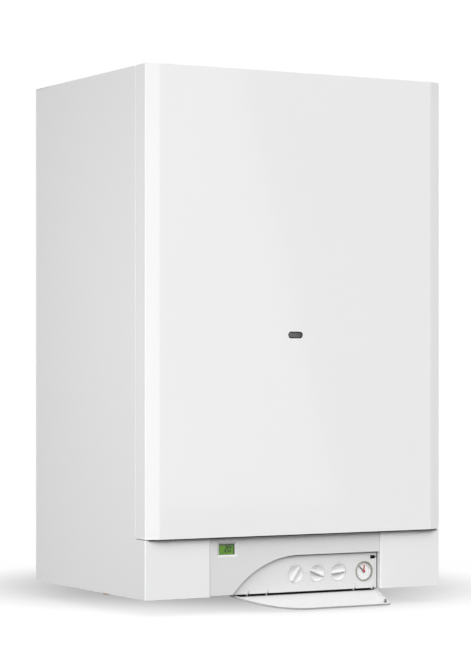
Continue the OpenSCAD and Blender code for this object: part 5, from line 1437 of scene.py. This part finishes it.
@dataclass
class Flap:
    """The curved flap, drawn closed and then opened about its hinge."""

    opened: float = 114.0
    gap: float = 0.4
    sheet: float = 1.8
    depth: float = 4.0
    rim: float = 3.0
    nub: float = 2.2
    low: float = 0.5
    edge_r: float = 0.8
    crease: float = 0.25
    # Low and high edge of the black strip that paints the hinge gap's shade.
    strip: Corner = (1.4, 10.8)
    hook_w: float = 2.8
    hook_t: float = 1.4
    hook_r: float = 5.2
    sweep: float = 150.0
    foot: float = 3.0
    foot_in: Corner = (0.4, 0.8)
    catch_foot: tuple[Corner, ...] = ((0, 0), (2.6, 0), (2.5, 0.8), (1.6, 1.6))
    catch_head: tuple[Corner, ...] = ((1.4, -3.0), (2.2, -2.2), (1.2, -0.3), (0.8, 0), (0, 0))

    def build(self, panel: ControlPanel) -> None:
        """Makes the flap with its hooks, and its catch.

        Args:
            panel: The control panel that it hangs on.
        """
        self.pivot, self.front = panel.pivot, float(panel.front)
        leaf = joined([self.leaf(panel.recess), *[self.hook(x) for x in panel.hook_x]])
        for name, finish, shape, node, slot in (
                ("flap_leaf", Paint.FLAP_PAINTED_DARKER, leaf, ("service_flap",), "white_plastic"),
                ("flap_hinge_shade_strip", Paint.RUBBER_AND_SHADE, self.hinge_shade_strip(panel.recess), (), "black_plastic"),
                ("flap_catch", Paint.GREY, self.catch(panel), (), "grey_plastic")):
            opened = shape.turned(0, self.opened, self.pivot)
            Piece(name, finish, "flap", node, slot, 40).place(opened)

    def leaf(self, recess: Recess) -> Surface:
        """The leaf: a rounded front, and a back with a raised rim round a flat field."""
        field_y, back, c = self.front + self.sheet, self.front + self.depth, self.crease
        profile = np.vstack([edge_profile(self.front, back, self.edge_r, c)[:-1],
                             [(c, back), (self.rim - 0.15, back), (self.rim, back - 0.15),
                              (self.rim + 0.1, field_y + 0.2), (self.rim + 0.3, field_y)]])
        return stamp(recess.path(-self.gap, self.low)[::-1], profile, Plane.FRONT)

    def hinge_shade_strip(self, recess: Recess) -> Surface:
        """Black strip along the leaf's hinged edge: painted shade in the gap above it."""
        (low, high), back, inset = self.strip, self.front + self.sheet, self.gap + self.rim
        left = float(recess.path(-inset, high)[0][0])
        return bar((left, back - 0.2, low), (recess.right - inset, back + 0.2, high), 0.1)

    def hook(self, x: float) -> Surface:
        """One hook: a flat section swept round the hinge, and the foot that joins it to the leaf.

        The section's points sit at radius and width (r, w); each goes to the hinge
        plus r (cos a, sin a) in the upright plane, for a along the sweep.

        Args:
            x: Place of the hook along the hinge.

        Returns:
            The hook.
        """
        half, inner = self.hook_w / 2, self.hook_r - self.hook_t
        section = box_outline((inner, -half), (self.hook_r, half), 0.5, 3)
        angle = np.radians(np.linspace(180 - self.sweep, 180, 25))[:, None]
        points = np.empty((len(angle), len(section), 3))
        points[..., 0] = x + section[:, 1]
        points[..., 1] = self.pivot[1] + section[:, 0] * np.cos(angle)
        points[..., 2] = self.pivot[2] + section[:, 0] * np.sin(angle)
        swept, count = grid(points), len(section)
        swept.faces += [tuple(range(count)), tuple(range(len(swept.points) - count, len(swept.points)))]
        near, far = self.front + self.sheet - self.foot_in[0], self.pivot[1] - inner - self.foot_in[1]
        return swept + bar((x - half, near, self.pivot[2] - self.foot),
                           (x + half, far, self.pivot[2] + self.foot), 0.4)

    def catch(self, panel: ControlPanel) -> Surface:
        """Round catch with a barbed head that snaps into the slot."""
        base, tip = self.front + self.sheet - 0.3, float(panel.back) + 0.4
        profile = [(r, base + depth) for r, depth in self.catch_foot]
        profile += [(r, tip + depth) for r, depth in self.catch_head]
        return revolve(profile, 1, (panel.latch[0] + self.nub, 0, panel.latch[1]), 24)


@dataclass
class FlueCollar:
    """The flue collar on top: outer tube, flange, gasket, inner tube and spokes."""

    outer_r: float = 50.0
    inner_r: float = 28.2
    wall: float = 1.5
    flange_r: float = 70.0
    flange_t: float = 2.0
    gasket_t: float = 0.9
    gasket_lap: float = 0.6
    spoke_z: Corner = (4.0, 8.0)
    inner_low: float = 11.0

    def build(self) -> None:
        """Makes the collar in white, its gasket in rubber and its inner tube in alloy."""
        low, high = span("flue_collar")
        x, y = middle("flue_collar")[:2]
        top, lid = high[2], span("top_panel")[1][2]
        outer, inner, r = self.outer_r, self.outer_r - self.wall, self.inner_r
        rest, face = lid + self.gasket_t, lid + self.flange_t
        flange = [(outer - 0.2, rest), (self.flange_r - 0.3, rest), (self.flange_r, lid + 1.2),
                  (self.flange_r - 0.4, face), (outer + 3, face), (outer + 0.6, face + 2),
                  (outer - 0.2, face + 3)]
        gasket = tube(outer + 0.1, self.flange_r + self.gasket_lap, lid, rest)
        start = span("fan_housing")[1][2] - self.inner_low
        shell, flange, gasket, core = (revolve(profile, 2, (x, y, 0), 96, wrap=True) for profile in (
            self.pipe(inner, low[2], top), flange, gasket, self.pipe(r, start, top)))
        spoke = bar((-1, r + 0.8, lid + self.spoke_z[0]), (1, inner + 0.3, lid + self.spoke_z[1]), 0.3)
        spokes = [spoke.turned(2, turn).moved(x, y) for turn in (0, 120, 240)]
        for name, finish, shape, nodes, slot in (
                ("flue_collar_tube", Paint.CASE, shell + flange, ("flue_collar",), "white_sheet"),
                ("flue_gasket", Paint.RUBBER_AND_SHADE, gasket, (), "black_plastic"),
                ("flue_inner_tube", Paint.ALLOY, joined([core, *spokes]), (), "aluminium")):
            Piece(name, finish, "casing", nodes, slot).place(shape)

    def pipe(self, radius: float, low: float, top: float) -> Array:
        """Profile of a tube's wall outside a radius, rounded at its top."""
        half = self.wall / 2
        lip = arc((radius + half, top - half), half, 0, 180, 8)
        return np.vstack([[(radius, low), (radius + self.wall, low)], lip])


@dataclass
class Unions:
    """The threaded pipe unions below the case, and the filling tap's handle."""

    length: float = 22.0
    upper: float = 16.0
    pitch: float = 1.81
    thread_d: float = 0.9
    thread_end: Corner = (1.0, 0.6)
    face_w: float = 1.4
    shoulder: float = 1.4
    washer: tuple[float, float, float] = (1.2, 1.2, 0.3)
    nut: tuple[float, float, float, float] = (3.8, 2.5, 12.4, 0.8)
    columns: int = 48
    row: tuple[tuple[float, float, float], ...] = (
        (-190.0, 13.2, 10.0), (-120.0, 10.5, 6.5), (-30.0, 13.2, 10.0), (60.0, 10.5, 6.5),
        (190.0, 13.2, 10.0))
    grip_h: float = 12.0
    grip_r: Corner = (12.2, 1.2)
    grip_lobes: int = 8
    grip_flat: float = 2.5
    grip_insets: tuple[float, ...] = (4.5, 1.0, 0.25, 0.0, 0.0, 0.25, 1.0)
    neck: Corner = (7.0, 4.0)
    centre_r: float = 0.001

    @staticmethod
    def y() -> float:
        """Distance of the unions' axes from the wall, as a y."""
        return float(middle("pipe_unions")[1])

    def build(self) -> None:
        """Makes the five unions and the handle."""
        parts = [self.union(*sizes) for sizes in self.row]
        Piece("threaded_unions", Paint.BRASS, "casing", ("pipe_unions",), "brass", 45).place(joined(parts))
        Piece("filling_handle_grip", Paint.BLUE, "filling_handle", ("filling_tap_handle",), "blue", 40).place(
            self.handle())

    def union(self, x: float, r: float, bore: float) -> Surface:
        """One union: a threaded spigot, a washer and a hexagon.

        The thread's radius falls from r by a triangle wave of z over the pitch
        less the share of the turn, so that its crest climbs as a helix.

        Args:
            x: Place of the axis.
            r: Radius over the thread.
            bore: Radius of the bore.

        Returns:
            The union.
        """
        y, angle, root = self.y(), around(self.columns), r - self.thread_d
        start, shoulder = -self.length + self.thread_end[0], -self.shoulder
        z = np.linspace(start, shoulder - self.thread_end[1], 64)[:, None]
        wave = np.abs(((z / self.pitch - angle / (2 * np.pi)) % 1) * 2 - 1)
        fade = np.clip((z - start) / self.pitch, 0.0, 1.0)
        radius = root * (1 - fade) + (r - self.thread_d * wave) * fade
        ends = [ring(*place, angle) for place in (
            (bore, -self.length), (r - self.face_w, -self.length), (root, shoulder), (root, self.upper),
            (bore, self.upper))]
        body = grid(np.stack([*ends[:2], *ring(radius, z, angle), *ends[2:]]), wrap_rows=True).moved(x, y)
        hole = [circle(r - 1.0, (x, y), self.columns)]
        over, top, edge = self.washer
        washer = plate(circle(r + over, (x, y)), shoulder, top, edge, edge, plane=Plane.FLAT, holes=hole)
        over, low, top, edge = self.nut
        nut = plate(circle(r + over, (x, y), 6), low, top, edge, edge, plane=Plane.FLAT, holes=hole)
        return joined([body, washer, nut])

    def handle(self) -> Surface:
        """Round handle with lobes and a stem.

        At the angle a the handle's radius is its mean plus a share of the
        flattened cos na, n being the number of lobes, drawn in towards both ends.

        Returns:
            The handle.
        """
        low, high = span("filling_tap_handle")
        x, y = middle("filling_tap_handle")[:2]
        bottom, top = low[2], low[2] + self.grip_h
        angle, (mean, share), flat = around(96), self.grip_r, self.grip_flat
        lobes = mean + share * np.tanh(flat * np.cos(self.grip_lobes * angle)) / np.tanh(flat)
        heights = (bottom, bottom, bottom + 0.4, bottom + 1.4, top - 1.4, top - 0.4, top)
        neck, stem = self.neck
        collar = ((neck, top), (stem, top + 2.0), (stem, high[2]), (self.centre_r, high[2]))
        rings = [ring(self.centre_r, bottom + 0.8, angle)]
        rings += [ring(lobes - inset, height, angle) for inset, height in zip(self.grip_insets, heights)]
        rings += [ring(*place, angle) for place in collar]
        return grid(np.stack(rings)).moved(x, y)


@dataclass
class Screws:
    """Pan-head screws that hold the sheets."""

    head_r: float = 3.8
    head_h: float = 1.8
    shank_r: float = 1.9
    shank_l: float = 6.0
    centre_r: float = 0.02
    rear_x: float = 286.8
    lid_x: float = 287.3
    cover_in: float = 7.0
    rear_margin: float = 60.0
    lid_margin: float = 30.0
    cover_margin: float = 20.0
    counts: tuple[int, int, int] = (5, 4, 4)
    shares: tuple[float, ...] = (0.02, 0.12, 0.2, 0.3, 0.42, 0.52, 0.56, 0.72, 0.88, 0.97, 1.0)
    cross_w: float = 0.42
    cross_end: float = 0.54
    cross_d: float = 0.9

    def build(self) -> None:
        """Makes every screw where the construction has one."""
        (_, lid_front, _), (_, _, lid) = span("top_panel")
        (_, cover, cover_low), (cover_x, _, cover_high) = span("chamber_cover")
        rear = span("back_panel")[1][1]
        up = self.screw()
        back, front = up.turned(0, -90), up.turned(0, 90)
        parts = []
        rears, lids, covers = self.counts
        for sign in (-1, 1):
            parts += [back.moved(sign * self.rear_x, rear, z)
                      for z in np.linspace(self.rear_margin, lid - self.rear_margin, rears)]
            parts += [up.moved(sign * self.lid_x, y, lid)
                      for y in np.linspace(-self.lid_margin, lid_front + self.lid_margin, lids)]
            parts += [front.moved(sign * (cover_x - self.cover_in), cover, z) for z in np.linspace(
                cover_low + self.cover_margin, cover_high - self.cover_margin, covers)]
        Piece("sheet_screws", Paint.STEEL, "casing", ("case_screws",), "steel", 50).place(joined(parts))

    def screw(self) -> Surface:
        """One screw along -Z with its head up.

        The head is a dome over the radius and angle; where a cross of two bars
        covers it, its height falls by the depth of the recess.

        Returns:
            The screw.
        """
        angle, share = around(40), np.array(self.shares)[:, None]
        dome = self.head_h * (1 - 0.35 * share ** 2 - 0.35 * share ** 8)
        head = ring(self.head_r * share, dome, angle)
        cross = (np.abs(head[..., :2]).min(axis=-1) < self.cross_w) & (share < self.cross_end)
        head[..., 2] -= np.where(cross, self.cross_d, 0.0)
        sides = ((self.head_r, 0.0), (self.shank_r, 0.0), (self.shank_r, -self.shank_l),
                 (self.centre_r, -self.shank_l))
        return grid(np.stack([*head, *[ring(*place, angle) for place in sides]]))


@dataclass
class Innards:
    """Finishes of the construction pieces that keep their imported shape."""

    def build(self) -> None:
        """Gives each such piece its finish."""
        dressed = {
            Paint.ZINC: ("chamber_box", "chamber_cover", "flue_hood"),
            Paint.STEEL: ("panel_studs", "burner_tray", "plate_exchanger", "valve_stem"),
            Paint.DARK_STEEL: ("burner_bars", "combustion_shell"),
            Paint.ALLOY: ("fan_housing", "gas_valve", "fan_impeller"),
            Paint.COPPER: ("exchanger_fins", "exchanger_tubes", "flow_pipe", "return_pipe", "water_pipes",
                           "gas_pipe", "expansion_pipe"),
            Paint.BRASS: ("gas_manifold", "three_way_valve", "safety_valve", "filling_tap"),
            Paint.IRON: ("pump_body",),
            Paint.GREEN: ("pump_motor",),
            Paint.RED_TANK: ("expansion_vessel",),
            Paint.RED: ("safety_valve_cap",),
            Paint.BOARD: ("main_board",),
            Paint.CERAMIC: ("electrodes",),
            Paint.WOOL: ("insulation_boards",),
            Paint.BLACK_AND_SHADE: ("panel_catches", "selector_switches", "fan_motor"),
            Paint.GREY: ("control_box", "air_pressure_switch", "pump_impeller", "valve_actuator"),
        }
        for finish, nodes in dressed.items():
            for node in nodes:
                thing = frame["nodes"][node]
                thing.data.materials.clear()
                thing.data.materials.append(finish.build())
                LOG.info("%s: finished as %s", node, finish.name)


@dataclass
class Studio:
    """Camera, floor, world and lamps of the photograph, in metres."""

    lens: float = 133.44
    camera_at: tuple[float, float, float] = (-2.1376, -4.0275, -0.4496)
    turn: float = -29.31
    shift: float = 0.0653
    sensor: float = 36.0
    clip_end: float = 100.0
    dome_levels: Corner = (0.42, 1.85)
    dome_turn: float = 6.0
    dome_blend: float = 0.3
    dome_stops: tuple[Corner, ...] = ((0.0, 0.30), (0.45, 0.50), (0.9, 0.35))
    sun_level: float = 0.80
    sun_width: float = 60.0
    sun_at: tuple[float, float, float] = (-1.0, -2.0, 2.0)
    sun_turn: Corner = (47.0, -30.0)
    floor_drop: float = 0.03
    floor_size: float = 20.0
    floor_shown: float = 0.10
    floor_bounce: float = 0.06
    # The floor's shadow is painted: its glow rises from the first level under the case to the second, over
    # the ellipse set by the next three.
    floor_glow: Corner = (0.36, 0.91)
    painted_shade_at: tuple[float, float, float] = (0.115, 0.033, 0.0)
    painted_shade_size: tuple[float, float, float] = (0.51, 0.55, 10.0)
    painted_shade_edge: Corner = (0.33, 1.2)
    side_at: tuple[float, float, float] = (1.1, -0.5, -0.62)
    side_size: Corner = (0.5, 1.5)
    side_power: tuple[float, float] = (3.5, 0.8)
    card_at: tuple[float, float, float] = (1.053, -3.2, -0.46)
    card_size: Corner = (1.2, 2.7)
    card_lean: float = -14.3
    card_power: float = 8.0

    def build(self) -> None:
        """Makes the camera, the floor, the world and the lamps."""
        self.build_camera()
        self.build_floor()
        self.build_world()
        self.build_lamps()
        bpy.context.scene.view_settings.view_transform = "Standard"

    def build_camera(self) -> None:
        """Level camera that keeps the case's uprights upright."""
        camera = bpy.data.cameras.new("camera")
        camera.lens, camera.sensor_width = self.lens, self.sensor
        camera.shift_y, camera.clip_end = self.shift, self.clip_end
        eye = bpy.data.objects.new("camera", camera)
        eye.location = self.camera_at
        eye.rotation_euler = (math.radians(90), 0, math.radians(self.turn))
        bpy.context.scene.collection.objects.link(eye)
        bpy.context.scene.camera = eye

    def build_floor(self) -> None:
        """Pale floor below the pipe unions, seen white, whose shadow is mostly painted: a dark ellipse round
        the case.
        """
        size, z = self.floor_size, CASE_FLOOR - self.floor_drop
        mesh = bpy.data.meshes.new("studio_floor")
        corners = [(-size, -size, z), (size, -size, z), (size, size, z), (-size, size, z)]
        mesh.from_pydata(corners, [], [(0, 1, 2, 3)])
        floor = bpy.data.objects.new("studio_floor", mesh)
        bpy.context.scene.collection.objects.link(floor)
        shader = Shader("floor_white")
        surface = shader.surface.inputs
        surface["Roughness"].default_value = 1.0
        surface["Specular IOR Level"].default_value = 0
        surface["Emission Color"].default_value = (1, 1, 1, 1)
        seen = shader.seen()
        shader.link(shader.ranged(seen, (0, 1), (self.floor_bounce, self.floor_shown)), surface["Base Color"])
        # Painted shadow: the glow grows with the distance from the ellipse's middle.
        shade = shader.add("ShaderNodeMapping", vector_type="TEXTURE")
        shade.inputs["Location"].default_value = self.painted_shade_at
        shade.inputs["Scale"].default_value = self.painted_shade_size
        shader.link(shader.place, shade.inputs["Vector"])
        away = shader.add("ShaderNodeVectorMath", operation="LENGTH")
        shader.link(shade.outputs["Vector"], away.inputs[0])
        painted_glow = shader.ranged(away.outputs["Value"], self.painted_shade_edge, self.floor_glow, "SMOOTHSTEP")
        shader.link(shader.combined("MULTIPLY", seen, painted_glow), surface["Emission Strength"])
        mesh.materials.append(shader.material)

    def build_world(self) -> None:
        """White where it is seen; as light, a dome that is bright in front and dim behind and overhead."""
        world = bpy.data.worlds.new("studio")
        world.use_nodes = True
        bpy.context.scene.world = world
        sky = Nodes(world.node_tree)
        background = world.node_tree.nodes["Background"]
        background.inputs["Color"].default_value = (1, 1, 1, 1)
        turned = sky.add("ShaderNodeMapping", vector_type="POINT")
        turned.inputs["Rotation"].default_value = (0, 0, math.radians(self.dome_turn))
        sky.link(sky.add("ShaderNodeTexCoord").outputs["Generated"], turned.inputs["Vector"])
        split = sky.add("ShaderNodeSeparateXYZ")
        sky.link(turned.outputs["Vector"], split.inputs["Vector"])
        front = sky.ranged(split.outputs["Y"], (self.dome_blend, -self.dome_blend), self.dome_levels,
                           "SMOOTHSTEP")
        ramp = sky.add("ShaderNodeValToRGB")
        stops = ramp.color_ramp.elements
        stops[1].position = self.dome_stops[-1][0]
        for height, _ in self.dome_stops[1:-1]:
            stops.new(height)
        for stop, (height, level) in zip(stops, self.dome_stops):
            stop.position, stop.color = height, (level, level, level, 1)
        sky.link(split.outputs["Z"], ramp.inputs["Fac"])
        dome = sky.combined("MULTIPLY", front, ramp.outputs["Color"])
        level = sky.add("ShaderNodeMapRange")
        sky.link(sky.seen(), level.inputs["Value"])
        sky.link(dome, level.inputs["To Min"])
        sky.link(level.outputs["Result"], background.inputs["Strength"])

    def build_lamps(self) -> None:
        """A high light that no gloss shows, a box at each side, and a card that only the gloss shows."""
        sun = bpy.data.lights.new("high_light", "SUN")
        sun.energy, sun.angle = self.sun_level * math.pi, math.radians(self.sun_width)
        tilt, turn = (math.radians(degrees) for degrees in self.sun_turn)
        self.hang(sun, self.sun_at, (tilt, 0, turn)).visible_glossy = False
        x, y, z = self.side_at
        for side, power in zip(Side, self.side_power):
            box = self.soft_box(f"{side.name.lower()}_box", self.side_size, power)
            self.hang(box, (side.value * x, y, z), (math.radians(90), 0, math.radians(90 * side.value)))
        card = self.soft_box("gloss_card", self.card_size, self.card_power)
        turned = (math.radians(90), math.radians(self.card_lean), 0)
        self.hang(card, self.card_at, turned).visible_diffuse = False

    @staticmethod
    def soft_box(name: str, size: Corner, power: float) -> bpy.types.Light:
        """A rectangular light of a size in metres and a power in watts."""
        data = bpy.data.lights.new(name, "AREA")
        data.shape, data.size, data.size_y, data.energy = "RECTANGLE", size[0], size[1], power
        return data

    @staticmethod
    def hang(light: bpy.types.Light, place: Sequence[float], turn: Sequence[float]) -> bpy.types.Object:
        """Puts a light in its place, unseen by the camera, and gives its object."""
        lamp = bpy.data.objects.new(light.name, light)
        lamp.location, lamp.rotation_euler = place, turn
        lamp.visible_camera = False
        bpy.context.scene.collection.objects.link(lamp)
        return lamp


def main() -> None:
    """Builds the studio and every sub-assembly."""
    logging.basicConfig(level=logging.INFO, format="%(name)s %(message)s")
    Studio().build()
    Case().build()
    FrontPanel().build()
    panel = ControlPanel()
    panel.build()
    for name, turn in (("water", 33.0), ("heating", 114.0), ("mode", 84.6)):
        Knob(f"{name}_knob", f"{name}_selector", turn).build(panel)
    Gauge().build(panel)
    Flap().build(panel)
    FlueCollar().build()
    Unions().build()
    Screws().build()
    Innards().build()


if __name__ == "__main__":
    main()
